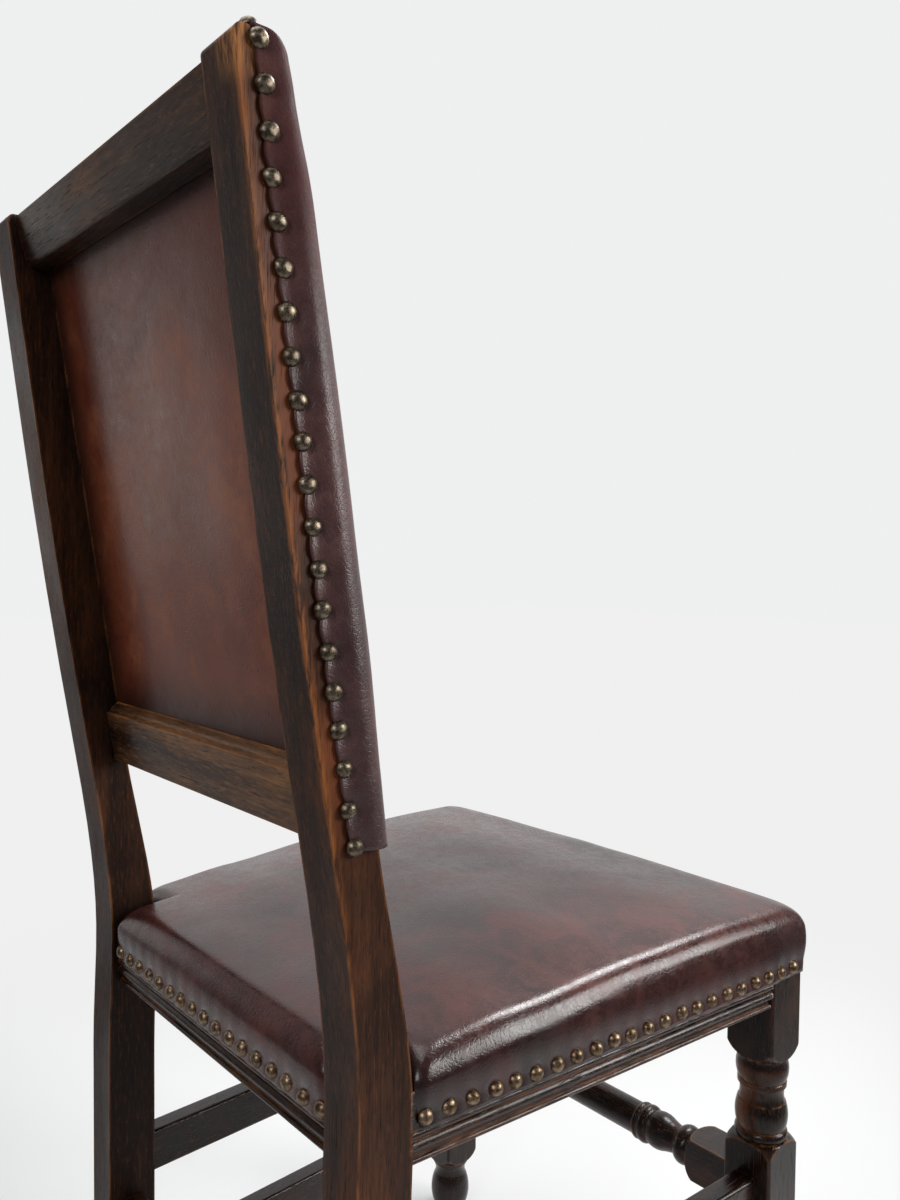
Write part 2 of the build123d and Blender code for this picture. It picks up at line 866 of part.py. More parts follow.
out = front_half + 2 * overrun
side_places = spaced(rear_leg_front - seat_leg_gap - seat_stud_end, -front_reach + seat_stud_front_end, seat_side_stud_count)
seat_studs_side = [nail(seat_leather, (out, y, seat_stud_height), (-1, 0, 0)) for y in side_places]
front_half_run = front_half - 2 * seat_stud_end
seat_studs_front = [
    nail(seat_leather, (x, -front_reach - out, seat_stud_height), (0, 1, 0))
    for x in spaced(-front_half_run, front_half_run, seat_front_stud_count)
]
rear_half_run = rear_inner - seat_leg_gap - seat_stud_end
seat_studs_rear = [
    nail(seat_leather, (x, out, seat_stud_height), (0, -1, 0))
    for x in spaced(-rear_half_run, rear_half_run, seat_rear_stud_count)
]
back_heights = spaced(chair_height - back_stud_top_end, back_leather_bottom + back_stud_bottom_end, back_side_stud_count)
back_studs_side = [nail(back_leather_front, (out, rake(z) - back_stud_set, z), (-1, 0, 0)) for z in back_heights]
end_run = rear_half - back_end_stud_inset
end_places = spaced(-end_run, end_run, back_end_stud_count)
top_sets = [back_top_corner_stud_set, *[back_top_stud_set] * (back_end_stud_count - 2), back_top_corner_stud_set]
back_studs_top = [
    nail(back_leather_front, (x, rake_at_top - set_in, chair_height + out), (0, 0, -1))
    for x, set_in in zip(end_places, top_sets)
]
back_studs_bottom = [
    (nail(back_leather_front, (x, -out, back_leather_bottom + back_bottom_stud_rise), (0, 1, 0)) - back_leather_front)
    for x in end_places
]

pieces = {
    "crest_rail": crest_rail,
    "lower_back_rail": lower_back_rail,
    "front_seat_rail": front_rail,
    "rear_seat_rail": rear_rail,
    "rear_stretcher": rear_stretcher,
    "front_stretcher": front_stretcher,
    "seat_webbing": seat_webbing,
    "seat_hessian": seat_hessian,
    "seat_padding": seat_padding,
    "seat_leather": seat_leather,
    "back_leather_rear": back_leather_rear,
    "back_webbing": back_webbing,
    "back_hessian": back_hessian,
    "back_padding": back_padding,
    "back_leather_front": back_leather_front,
    "seat_studs_front": Compound(seat_studs_front),
    "seat_studs_rear": Compound(seat_studs_rear),
    "back_studs_top": Compound(back_studs_top),
    "back_studs_bottom": Compound(back_studs_bottom),
}
for name, solid in {
    "rear_leg": rear_leg,
    "front_leg": front_leg,
    "side_seat_rail": side_rail,
    "upper_side_stretcher": upper_stretcher,
    "lower_side_stretcher": lower_stretcher,
    "front_glue_block": front_glue_block,
    "rear_glue_block": rear_glue_block,
    "seat_studs": Compound(seat_studs_side),
    "back_studs": Compound(back_studs_side),
}.items():
    for side, piece in both_sides(solid).items():
        pieces[f"{name}_{side}"] = piece

os.makedirs("parts", exist_ok=True)
for name, piece in pieces.items():
    export_step(Pos(0, centre_shift, 0) * piece, f"parts/{name}.step")
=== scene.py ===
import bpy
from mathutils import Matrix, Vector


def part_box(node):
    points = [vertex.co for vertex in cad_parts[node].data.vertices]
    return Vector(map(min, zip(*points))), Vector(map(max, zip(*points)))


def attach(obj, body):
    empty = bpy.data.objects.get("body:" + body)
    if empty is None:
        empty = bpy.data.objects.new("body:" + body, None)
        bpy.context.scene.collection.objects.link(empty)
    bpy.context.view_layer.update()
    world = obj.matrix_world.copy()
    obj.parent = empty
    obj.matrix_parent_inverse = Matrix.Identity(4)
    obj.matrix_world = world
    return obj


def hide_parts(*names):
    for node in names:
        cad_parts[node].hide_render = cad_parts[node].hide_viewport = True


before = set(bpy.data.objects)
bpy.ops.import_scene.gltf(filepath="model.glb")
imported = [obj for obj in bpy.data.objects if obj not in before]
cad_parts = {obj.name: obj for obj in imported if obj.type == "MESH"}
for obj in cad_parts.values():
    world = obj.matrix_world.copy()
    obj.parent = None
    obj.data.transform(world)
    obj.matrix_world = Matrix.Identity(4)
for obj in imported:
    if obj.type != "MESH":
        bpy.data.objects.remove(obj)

"""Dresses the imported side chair: timber, nailed leather seat and back, brass nails.

Metres in the row frame. The sitter faces -Y and +X is the sitter's left. Heights are above the
floor. Depths are measured from the rear face of the rear feet, as the source of the solids does,
and `Frame.shift` carries them to the row frame.
"""

import logging
import math
import random
from dataclasses import dataclass, field
from enum import Enum

import bmesh
import bpy
from mathutils import Matrix, Vector, noise
from mathutils.bvhtree import BVHTree

Material = bpy.types.Material
Piece = bpy.types.Object
Socket = bpy.types.NodeSocket
Colour = tuple[float, float, float]
Point = tuple[float, float, float]
Span = tuple[float, float]
Stations = tuple[Span, ...]
Face = tuple[int, ...]
# The line that a nail is driven along: where it starts, and its direction.
Seat = tuple[Point, Point]

log = logging.getLogger("chair")


def shade(red: int, green: int, blue: int) -> Colour:
    """A colour as light values, from its usual 0 to 255 numbers.

    Args:
        red: Red, 0 to 255.
        green: Green, 0 to 255.
        blue: Blue, 0 to 255.

    Returns:
        The three linear values.
    """
    return tuple(
        value / 12.92 if value <= 0.04045 else ((value + 0.055) / 1.055) ** 2.4
        for value in (red / 255, green / 255, blue / 255)
    )


def eased(share: float) -> float:
    """A share from 0 to 1, slowed at both ends."""
    return share * share * (3 - 2 * share)


def clamped(value: float) -> float:
    """A value kept from 0 to 1."""
    return min(1.0, max(0.0, value))


def between(value: float, stations: Stations) -> float:
    """A value read off a smooth run of stations.

    Args:
        value: Where to read.
        stations: Pairs of place and value, in rising order of place.

    Returns:
        The value there, eased from each station to the next.
    """
    if value <= stations[0][0]:
        return stations[0][1]
    for (low, first), (high, last) in zip(stations, stations[1:]):
        if value <= high:
            return first + (last - first) * eased((value - low) / (high - low))
    return stations[-1][1]


def spaced(first: float, last: float, count: int) -> list[float]:
    """Evenly spaced places.

    Args:
        first: The first place.
        last: The last place.
        count: How many.

    Returns:
        The places, in order.
    """
    return [first + (last - first) * index / (count - 1) for index in range(count)]


def uneven(x: float, y: float, z: float) -> float:
    """Smooth noise at a place, from about -1 to 1. A fixed last number picks one pattern."""
    return noise.noise(Vector((x, y, z)))


class Hand:
    """An uneven hand that misses each mark a little, in the same way on every run."""

    def __init__(self, seed: int, reach: float) -> None:
        """Settle how far the hand strays.

        Args:
            seed: Which run of slips.
            reach: The largest slip.
        """
        self.chance = random.Random(seed)
        self.reach = reach

    def slip(self) -> float:
        """The next slip."""
        return self.chance.uniform(-self.reach, self.reach)


@dataclass(frozen=True)
class Frame:
    """The chair's main places, from the source of its solids."""

    shift: float = 0.1857
    rear_half: float = 0.2
    rear_inner: float = 0.164
    front_half: float = 0.2245
    front_reach: float = 0.445
    rear_leg_front: float = -0.0407
    leg_rear_face: float = -0.401
    rail_top: float = 0.44
    top: float = 1.026
    leather: float = 0.002
    rake_stations: Stations = ((0.6278, 0.0216), (0.826, 0.0523), (1.026, 0.0788))
    stile_front_start: Span = (0.599, -0.0142)
    stile_top_depth: float = 0.0272

    def side(self, depth: float) -> float:
        """Outer face of the splayed side at a depth."""
        splay = (self.front_half - self.rear_half) / (self.rear_leg_front - self.leg_rear_face)
        return self.rear_half + (self.rear_leg_front - depth) * splay

    def stile_front(self, height: float) -> float:
        """Front face of the raked stile at a height.

        Args:
            height: Above the floor.

        Returns:
            The depth.
        """
        low, start = self.stile_front_start
        high, rear = self.rake_stations[-1]
        return start + (height - low) * (rear - self.stile_top_depth - start) / (high - low)

    def rake_terms(self) -> Span:
        """The slope and the bend of the stile's rear face.

        Returns:
            The slope between the first two stations, and how it changes up to the third.
        """
        (low, first), (middle, second), (high, third) = self.rake_stations
        slope = (second - first) / (middle - low)
        bend = ((third - second) / (high - middle) - slope) / (high - low)
        return slope, bend

    def rake(self, height: float) -> float:
        """Rear face of the raked stile at a height.

        Args:
            height: Above the floor.

        Returns:
            The depth.
        """
        (low, first), (middle, _), _ = self.rake_stations
        slope, bend = self.rake_terms()
        return first + (height - low) * (slope + (height - middle) * bend)


PLACES = Frame()


class Grain(Enum):
    """Which axis the grain of a piece of timber runs along."""

    ACROSS = 0
    FORE_AND_AFT = 1
    UPRIGHT = 2


class Run(Enum):
    """Which way a webbing strap runs."""

    ACROSS = "across"
    ALONG = "along"


class Bench:
    """A material's node tree, with short calls that add and join its nodes."""

    def __init__(self, name: str) -> None:
        """Start a material with one surface shader.

        Args:
            name: The material's name.
        """
        self.material = bpy.data.materials.new(name)
        self.material.use_nodes = True
        self.tree = self.material.node_tree
        self.tree.nodes.clear()
        self.out = self.tree.nodes.new("ShaderNodeOutputMaterial")
        self.surface = self.tree.nodes.new("ShaderNodeBsdfPrincipled")
        self.join(self.surface.outputs[0], self.out.inputs["Surface"])
        self.place = self.node("ShaderNodeTexCoord").outputs["Object"]

    def node(self, kind: str, **settings: object) -> bpy.types.Node:
        """Add a node.

        Args:
            kind: The node's type.
            **settings: Its settings by name.

        Returns:
            The node.
        """
        made = self.tree.nodes.new(kind)
        for key, value in settings.items():
            setattr(made, key, value)
        return made

    def join(self, source: Socket, target: Socket) -> None:
        """Join two sockets."""
        self.tree.links.new(source, target)

    def feed(self, target: Socket, value: object) -> None:
        """Give a socket a value or another socket's output.

        Args:
            target: The input.
            value: A socket, a number, a colour or a vector.
        """
        if isinstance(value, Socket):
            self.join(value, target)
        elif isinstance(value, tuple) and target.type == "RGBA":
            target.default_value = (*value, 1.0)
        else:
            target.default_value = value

    def maths(self, kind: str, first: object, second: object = 0.0, clamp: bool = False) -> Socket:
        """Work out one number.

        Args:
            kind: The operation.
            first: The first number or socket.
            second: The second number or socket.
            clamp: Whether the answer is kept from 0 to 1.

        Returns:
            The answer's socket.
        """
        made = self.node("ShaderNodeMath", operation=kind, use_clamp=clamp)
        self.feed(made.inputs[0], first)
        self.feed(made.inputs[1], second)
        return made.outputs[0]

    def times(self, first: object, second: object, clamp: bool = False) -> Socket:
        """The product of two numbers or sockets."""
        return self.maths("MULTIPLY", first, second, clamp)

    def stretched(self, scale: Point, at: Point = (0, 0, 0)) -> Socket:
        """Places stretched along an axis and moved.

        Args:
            scale: The factor along each axis.
            at: What is added after.

        Returns:
            The vector's socket.
        """
        made = self.node("ShaderNodeMapping")
        self.join(self.place, made.inputs["Vector"])
        made.inputs["Scale"].default_value = scale
        made.inputs["Location"].default_value = at
        return made.outputs[0]

    def cloud(
        self, vector: Socket, scale: float, detail: float = 3.0, rough: float = 0.55, twist: float = 0.0
    ) -> Socket:
        """Soft noise.

        Args:
            vector: Where it is read.
            scale: How fine it is, per metre.
            detail: How many finer layers it has.
            rough: How strong those are.
            twist: How far it is pulled about.

        Returns:
            The value's socket.
        """
        made = self.node("ShaderNodeTexNoise", noise_dimensions="3D")
        self.feed(made.inputs["Vector"], vector)
        made.inputs["Scale"].default_value = scale
        made.inputs["Detail"].default_value = detail
        made.inputs["Roughness"].default_value = rough
        made.inputs["Distortion"].default_value = twist
        return made.outputs["Fac"]

    def pebbles(self, vector: Socket, scale: float, kind: str = "F1") -> Socket:
        """Cells, for a leather's pebbled grain.

        Args:
            vector: Where they are read.
            scale: How fine they are, per metre.
            kind: Which distance is given.

        Returns:
            The distance's socket.
        """
        made = self.node("ShaderNodeTexVoronoi", feature=kind)
        self.feed(made.inputs["Vector"], vector)
        made.inputs["Scale"].default_value = scale
        return made.outputs["Distance"]

    def ramp(self, value: Socket, low: float, high: float, start: float = 0.0, end: float = 1.0) -> Socket:
        """A number eased from one range to another.

        Args:
            value: The number.
            low: Where it starts.
            high: Where it ends.
            start: The answer at low.
            end: The answer at high.

        Returns:
            The answer's socket.
        """
        made = self.node("ShaderNodeMapRange", interpolation_type="SMOOTHSTEP")
        self.join(value, made.inputs["Value"])
        for key, number in (("From Min", low), ("From Max", high), ("To Min", start), ("To Max", end)):
            made.inputs[key].default_value = number
        return made.outputs["Result"]

    def mix(self, share: object, first: object, second: object) -> Socket:
        """Mix two colours.

        Args:
            share: How much of the second.
            first: The first colour.
            second: The second colour.

        Returns:
            The colour's socket.
        """
        made = self.node("ShaderNodeMix", data_type="RGBA", blend_type="MIX", clamp_result=True)
        self.feed(made.inputs[0], share)
        self.feed(made.inputs[6], first)
        self.feed(made.inputs[7], second)
        return made.outputs[2]

    def edges(self, reach: float) -> Socket:
        """How close a place is to an arris.

        Args:
            reach: How wide the arris counts.

        Returns:
            A value, 0 on flats and higher on edges.
        """
        soft = self.node("ShaderNodeBevel", samples=6)
        soft.inputs["Radius"].default_value = reach
        plain = self.node("ShaderNodeNewGeometry")
        dot = self.node("ShaderNodeVectorMath", operation="DOT_PRODUCT")
        self.join(soft.outputs[0], dot.inputs[0])
        self.join(plain.outputs["Normal"], dot.inputs[1])
        return self.maths("SUBTRACT", 1.0, dot.outputs["Value"])

    def corners(self, reach: float) -> Socket:
        """How open a place is, low in inner corners where wax and dirt gather and where shade falls.

        Args:
            reach: How far another face counts.

        Returns:
            A value, 1 in the open.
        """
        made = self.node("ShaderNodeAmbientOcclusion", samples=6)
        made.inputs["Distance"].default_value = reach
        return made.outputs["AO"]

    def near(self, point: Point, reach: float) -> Socket:
        """How close a place is to a point.

        Args:
            point: The point.
            reach: Where the value falls to 0.

        Returns:
            A value, 1 at the point.
        """
        made = self.node("ShaderNodeVectorMath", operation="DISTANCE")
        self.join(self.place, made.inputs[0])
        made.inputs[1].default_value = point
        return self.ramp(made.outputs["Value"], reach, 0.0)

    def axis(self, name: str) -> Socket:
        """One coordinate of the place.

        Args:
            name: The coordinate, X, Y or Z.

        Returns:
            Its socket.
        """
        made = self.node("ShaderNodeSeparateXYZ")
        self.join(self.place, made.inputs[0])
        return made.outputs[name]

    def relief(self, layers: list[tuple[Socket, float]]) -> None:
        """Raise the surface by several layers.

        Args:
            layers: Pairs of height socket and depth in metres.
        """
        last = None
        for height, depth in layers:
            made = self.node("ShaderNodeBump")
            made.inputs["Strength"].default_value = 1.0
            made.inputs["Distance"].default_value = depth
            self.join(height, made.inputs["Height"])
            if last is not None:
                self.join(last, made.inputs["Normal"])
            last = made.outputs["Normal"]
        self.join(last, self.surface.inputs["Normal"])

    def finish(self, colour: object, roughness: object, **sockets: float) -> Material:
        """Set the shader.

        Args:
            colour: The base colour.
            roughness: The roughness.
            **sockets: Other sockets by name, with _ for a space.

        Returns:
            The material.
        """
        self.feed(self.surface.inputs["Base Color"], colour)
        self.feed(self.surface.inputs["Roughness"], roughness)
        for key, value in sockets.items():
            self.surface.inputs[key.replace("_", " ")].default_value = value
        return self.material


@dataclass(frozen=True)
class OakFinish:
    """Old oak, stained dark and waxed, worn back to lighter wood along its edges."""

    name: str
    grain: Grain
    dark: Colour = shade(36, 16, 10)
    middle: Colour = shade(82, 46, 28)
    warm: Colour = shade(112, 62, 32)
    worn: Colour = shade(172, 108, 58)
    wear: float = 0.5
    roughness: float = 0.34
    sheen: float = 0.26
    warm_turning: Span | None = None
    worn_and_lit_stile: bool = False
    bare_place: Point | None = None
    bare_reach: float = 0.03
    edge_reach: float = 0.0035
    # How far the inner corners' grime and painted shade reach.
    corner_shade_reach: float = 0.03
    turning_fade: float = 0.006
    side_edge: Span = (0.0015, 0.004)
    side_heights: Span = (0.56, 0.66)
    streak_edge: Span = (0.0052, 0.0008)
    streak_heights: Span = (0.50, 0.62)
    fibre_depth: float = 0.00010
    pore_depth: float = 0.00016
    smudge_depth: float = 0.0006
    fibre_tone: Colour = shade(18, 10, 7)
    fleck_tone: Colour = shade(20, 11, 8)
    pore_tone: Colour = shade(12, 7, 5)
    # Colour laid in the inner corners: partly grime, partly painted shade.
    grime_and_shade_tone: Colour = shade(14, 7, 5)
    turning_tone: Colour = shade(110, 62, 34)
    lit_side_tone: Colour = shade(122, 66, 37)
    streak_tone: Colour = shade(146, 86, 42)
    bare_tone: Colour = shade(196, 132, 74)

    def along(self, b: Bench, drawn: float, at: Point = (0, 0, 0)) -> Socket:
        """Places drawn out along the grain.

        Args:
            b: The material's bench.
            drawn: The scale along the grain, lower for longer marks.
            at: What is added after.

        Returns:
            The vector's socket.
        """
        return b.stretched(tuple(drawn if axis == self.grain.value else 1.0 for axis in range(3)), at)

    def material(self) -> Material:
        """Build the material.

        Returns:
            The material.
        """
        b = Bench(self.name)
        fibres = b.cloud(self.along(b, 0.05), 330, 4, 0.7)
        pores = b.cloud(self.along(b, 0.03), 1500, 2, 0.5)
        patches = b.cloud(self.along(b, 0.4), 17, 5, 0.6, 0.4)
        smudge = b.cloud(b.place, 8, 3, 0.55)
        open_pores = b.ramp(pores, 0.40, 0.30)
        base = self.stained(b, fibres, patches, smudge)
        base = b.mix(b.times(open_pores, 0.75), base, self.pore_tone)
        # Inner corners darkened by how open they are: partly grime, partly painted shade.
        base = b.mix(b.ramp(b.corners(self.corner_shade_reach), 0.95, 0.35, 0.0, 0.85), base, self.grime_and_shade_tone)
        base = self.rubbed(b, base, patches)
        polish = b.ramp(patches, 0.3, 0.8, self.roughness - 0.06, self.roughness + 0.14)
        polish = b.maths("ADD", polish, b.times(open_pores, 0.2))
        closed = b.ramp(pores, 0.28, 0.42)
        b.relief([(fibres, self.fibre_depth), (closed, self.pore_depth), (smudge, self.smudge_depth)])
        return b.finish(base, polish, Specular_IOR_Level=self.sheen)

    def stained(self, b: Bench, fibres: Socket, patches: Socket, smudge: Socket) -> Socket:
        """The stained wood under its wear.

        Args:
            b: The material's bench.
            fibres: Noise of the fibres.
            patches: Noise of the stain's patches.
            smudge: Noise of the darker smudges.

        Returns:
            The colour.
        """
        figure = b.cloud(self.along(b, 0.05), 42, 5, 0.62, 0.35)
        flecks = b.cloud(self.along(b, 0.16, (0.7, 0.2, 0.4)), 520, 3, 0.7)
        base = b.mix(b.ramp(figure, 0.32, 0.68), self.dark, self.middle)
        base = b.mix(b.ramp(patches, 0.5, 0.74, 0.0, 0.75), base, self.warm)
        base = b.mix(b.ramp(smudge, 0.58, 0.36, 0.0, 0.85), base, self.dark)
        base = b.mix(b.ramp(fibres, 0.35, 0.7, 0.45, 0.0), base, self.fibre_tone)
        base = b.mix(b.ramp(flecks, 0.54, 0.68, 0.0, 0.36), base, self.warm)
        return b.mix(b.ramp(flecks, 0.46, 0.34, 0.0, 0.6), base, self.fleck_tone)

    def rubbed(self, b: Bench, base: Socket, patches: Socket) -> Socket:
        """The stained wood with its rubbed arrises and worn places.

        Args:
            b: The material's bench.
            base: The stained wood's colour.
            patches: Noise of the stain's patches.

        Returns:
            The colour.
        """
        rub = b.cloud(self.along(b, 0.12), 190, 5, 0.72)
        edge = b.times(b.ramp(b.edges(self.edge_reach), 0.004, 0.085), b.ramp(rub, 0.36, 0.64))
        base = b.mix(b.times(edge, self.wear, clamp=True), base, self.worn)
        if self.warm_turning is not None:
            low, high = self.warm_turning
            height = b.axis("Z")
            above = b.ramp(height, low, low + self.turning_fade)
            below = b.ramp(height, high, high - self.turning_fade)
            turned = b.times(b.times(above, below), b.ramp(patches, 0.38, 0.64, 0.0, 0.75))
            base = b.mix(turned, base, self.turning_tone)
        # Outer side: partly its own redder tone, partly painted light; rear arris: a worn streak.
        if self.worn_and_lit_stile:
            base = b.mix(self.lit_stile_side(b, patches), base, self.lit_side_tone)
            base = b.mix(self.stile_streak(b, rub), base, self.streak_tone)
        if self.bare_place is not None:
            close = b.near(self.bare_place, self.bare_reach)
            base = b.mix(b.times(close, b.ramp(rub, 0.38, 0.62), clamp=True), base, self.bare_tone)
        return base

    def stile_depth(self, b: Bench) -> Socket:
        """How far a place lies in front of the raked stile's rear face.

        Args:
            b: The material's bench.

        Returns:
            The distance.
        """
        (low, first), (middle, _), _ = PLACES.rake_stations
        slope, bend = PLACES.rake_terms()
        height = b.axis("Z")
        above = b.maths("SUBTRACT", height, low)
        curve = b.times(b.times(above, b.maths("SUBTRACT", height, middle)), bend)
        line = b.maths("ADD", b.maths("ADD", b.times(above, slope), curve), first)
        line = b.maths("MAXIMUM", line, 0.0)
        return b.maths("SUBTRACT", b.maths("ADD", line, PLACES.shift), b.axis("Y"))

    def lit_stile_side(self, b: Bench, patches: Socket) -> Socket:
        """The redder, lighter tone of the stile's outer side beside the leather: partly the wood's own tone,
        partly painted light on the face that the lamp falls on.

        Args:
            b: The material's bench.
            patches: Noise that breaks the tone up.

        Returns:
            How much of the lighter, redder tone shows.
        """
        inside = b.ramp(self.stile_depth(b), *self.side_edge)
        beside = b.times(inside, b.ramp(b.axis("Z"), *self.side_heights))
        return b.times(beside, b.ramp(patches, 0.34, 0.6, 0.15, 0.9), clamp=True)

    def stile_streak(self, b: Bench, rub: Socket) -> Socket:
        """The streak rubbed along a stile's outer rear arris.

        Args:
            b: The material's bench.
            rub: Noise that breaks the streak up.

        Returns:
            How much of the worn colour shows.
        """
        across = b.maths("SUBTRACT", PLACES.rear_half, b.maths("ABSOLUTE", b.axis("X")))
        away = b.maths("ADD", self.stile_depth(b), across)
        streak = b.times(b.ramp(away, *self.streak_edge), b.ramp(b.axis("Z"), *self.streak_heights))
        return b.times(streak, b.ramp(rub, 0.40, 0.56, 0.05, 1.0), clamp=True)


@dataclass(frozen=True)
class LeatherFinish:
    """Oxblood hide, antiqued by hand: mottled middle, soft polish, and painted shade where a panel meets its
    timber.
    """

    name: str
    dark: Colour = shade(36, 17, 16)
    middle: Colour = shade(57, 23, 21)
    light: Colour = shade(92, 40, 31)
    mottle: float = 0.45
    roughness: float = 0.27
    sheen: float = 0.5
    coat: float = 0.2
    coat_roughness: float = 0.12
    grain: float = 0.00004
    lie: float = 0.0003
    rubbed_sides: Span | None = None
    rubbed_heights: Span = (0.452, 0.468)
    rubbed_rear: Span = (0.168, 0.178)
    # The panel's half width and its low and high edges, for painted shade near its timber.
    shade_near_frame: tuple[float, float, float] | None = None
    frame_shade_tone: Colour = shade(34, 15, 11)
    # How far the painted shade reaches in from the timber.
    edge_reach: float = 0.03
    dry_above: Span | None = None
    dry_roughness: float = 0.2
    dry_sheen: float = 0.12

    def material(self) -> Material:
        """Build the material.

        Returns:
            The material.
        """
        b = Bench(self.name)
        clouds = b.cloud(b.place, 6.5, 4, 0.6, 0.6)
        dabs = b.cloud(b.stretched((1, 1, 1), (3.1, 1.7, 0.4)), 26, 4, 0.62, 0.8)
        specks = b.cloud(b.place, 120, 4, 0.7)
        base = b.mix(b.ramp(clouds, 0.34, 0.66), self.dark, self.middle)
        tone = b.times(b.ramp(dabs, 0.44, 0.70), b.ramp(clouds, 0.38, 0.62))
        base = b.mix(b.times(tone, self.mottle), base, self.light)
        base = b.mix(b.ramp(specks, 0.62, 0.36, 0.0, 0.35), base, self.dark)
        if self.rubbed_sides is not None:
            worn = b.times(self.outside(b), b.ramp(dabs, 0.36, 0.64, 0.1, 0.5))
            base = b.mix(worn, base, self.light)
        # Painted shade: the panel darkens close to the timber that frames it.
        if self.shade_near_frame is not None:
            base = b.mix(self.frame_shade(b, clouds), base, self.frame_shade_tone)
        gloss = b.ramp(specks, 0.3, 0.7, self.roughness - 0.05, self.roughness + 0.07)
        gloss = b.maths("ADD", gloss, b.ramp(dabs, 0.3, 0.7, -0.03, 0.05))
        shine = self.sheen
        if self.dry_above is not None:
            low, high = self.dry_above
            gloss = b.maths("ADD", gloss, b.ramp(b.axis("Z"), low, high, 0.0, self.dry_roughness))
            shine = b.ramp(b.axis("Z"), low, high, self.sheen, self.dry_sheen)
        b.feed(b.surface.inputs["Specular IOR Level"], shine)
        cells = b.pebbles(b.place, 900)
        creases = b.pebbles(b.stretched((1, 1, 1), (0.3, 0.7, 0.1)), 260, "DISTANCE_TO_EDGE")
        lie = b.cloud(b.place, 34, 3, 0.5)
        b.relief([(cells, self.grain), (b.ramp(creases, 0.0, 0.12), self.grain), (lie, self.lie)])
        return b.finish(base, gloss, Coat_Weight=self.coat, Coat_Roughness=self.coat_roughness)

    def outside(self, b: Bench) -> Socket:
        """Where the seat's hide is rubbed: its upper sides and its rear.

        Args:
            b: The material's bench.

        Returns:
            A value, 1 where it is rubbed.
        """
        sides = b.ramp(b.maths("ABSOLUTE", b.axis("X")), *self.rubbed_sides)
        sides = b.times(sides, b.ramp(b.axis("Z"), *self.rubbed_heights))
        return b.maths("MAXIMUM", sides, b.ramp(b.axis("Y"), *self.rubbed_rear))

    def frame_shade(self, b: Bench, clouds: Socket) -> Socket:
        """Painted shade on the panel, close to the timber round it.

        Args:
            b: The material's bench.
            clouds: Noise that makes the edge wander.

        Returns:
            How much painted shade there is.
        """
        half, low, high = self.shade_near_frame
        reach = b.maths("ADD", b.times(b.ramp(clouds, 0.3, 0.7), self.edge_reach), self.edge_reach)
        inside = b.maths("SUBTRACT", half, b.maths("ABSOLUTE", b.axis("X")))
        inside = b.maths("MINIMUM", inside, b.maths("SUBTRACT", b.axis("Z"), low))
        inside = b.maths("MINIMUM", inside, b.maths("SUBTRACT", high, b.axis("Z")))
        return b.ramp(b.maths("DIVIDE", inside, reach), 1.0, 0.0, 0.0, 0.85)


@dataclass(frozen=True)
class BrassFinish:
    """Old brass nail heads, browned in the hollows and rubbed bright on top."""

    name: str
    brown: Colour = shade(96, 84, 72)
    bright: Colour = shade(150, 138, 118)
    grime_and_shade_tone: Colour = shade(48, 38, 34)
    age_depth: float = 0.00012
    grime_depth: float = 0.00003

    def material(self) -> Material:
        """Build the material.

        Returns:
            The material.
        """
        b = Bench(self.name)
        age = b.cloud(b.place, 210, 4, 0.65)
        grime = b.cloud(b.place, 900, 3, 0.6)
        base = b.mix(b.ramp(age, 0.36, 0.66), self.brown, self.bright)
        base = b.mix(b.ramp(grime, 0.62, 0.4, 0.0, 0.5), base, self.grime_and_shade_tone)
        b.relief([(age, self.age_depth), (grime, self.grime_depth)])
        return b.finish(base, b.ramp(grime, 0.3, 0.7, 0.3, 0.46), Metallic=0.95)


@dataclass(frozen=True)
class ClothFinish:
    """Plain-woven jute or hemp: crossing threads, fuzz and a few slubs."""

    name: str
    colour: Colour
    thread: float
    wave_share: float = 0.314
    pale_share: float = 1.35
    deep_share: float = 0.35
    weave_depth: float = 0.0007
    slub_depth: float = 0.0003

    def threads(self, b: Bench, direction: str) -> Socket:
        """The threads that cross one axis.

        Args:
            b: The material's bench.
            direction: The axis, X or Y.

        Returns:
            The threads' height.
        """
        wave = b.node("ShaderNodeTexWave", wave_type="BANDS", bands_direction=direction)
        b.join(b.place, wave.inputs["Vector"])
        wave.inputs["Scale"].default_value = self.wave_share / self.thread
        wave.inputs["Distortion"].default_value = 0.6
        wave.inputs["Detail Scale"].default_value = 0.6
        return wave.outputs["Fac"]

    def material(self) -> Material:
        """Build the material.

        Returns:
            The material.
        """
        b = Bench(self.name)
        weave = b.times(self.threads(b, "X"), self.threads(b, "Y"))
        slubs = b.cloud(b.place, 60, 4, 0.6)
        dust = b.cloud(b.place, 12, 3, 0.6)
        pale = tuple(min(1.0, value * self.pale_share) for value in self.colour)
        deep = tuple(value * self.deep_share for value in self.colour)
        base = b.mix(b.ramp(weave, 0.1, 0.7), deep, self.colour)
        base = b.mix(b.ramp(slubs, 0.55, 0.75, 0.0, 0.7), base, pale)
        base = b.mix(b.ramp(dust, 0.6, 0.35, 0.0, 0.5), base, deep)
        b.relief([(weave, self.weave_depth), (slubs, self.slub_depth)])
        return b.finish(base, b.ramp(slubs, 0.3, 0.7, 0.8, 0.95), Sheen_Weight=0.3)


@dataclass(frozen=True)
class Room:
    """How bright the plain room is: pale on one side, dark behind the camera."""

    pale_way: Point = (0.758, -0.652, 0.0)
    dark_from: float = 0.15
    light_from: float = 0.78
    dark: float = 0.11
    light: float = 0.87
    white: tuple[float, float, float, float] = (0.99, 0.995, 1.0, 1.0)


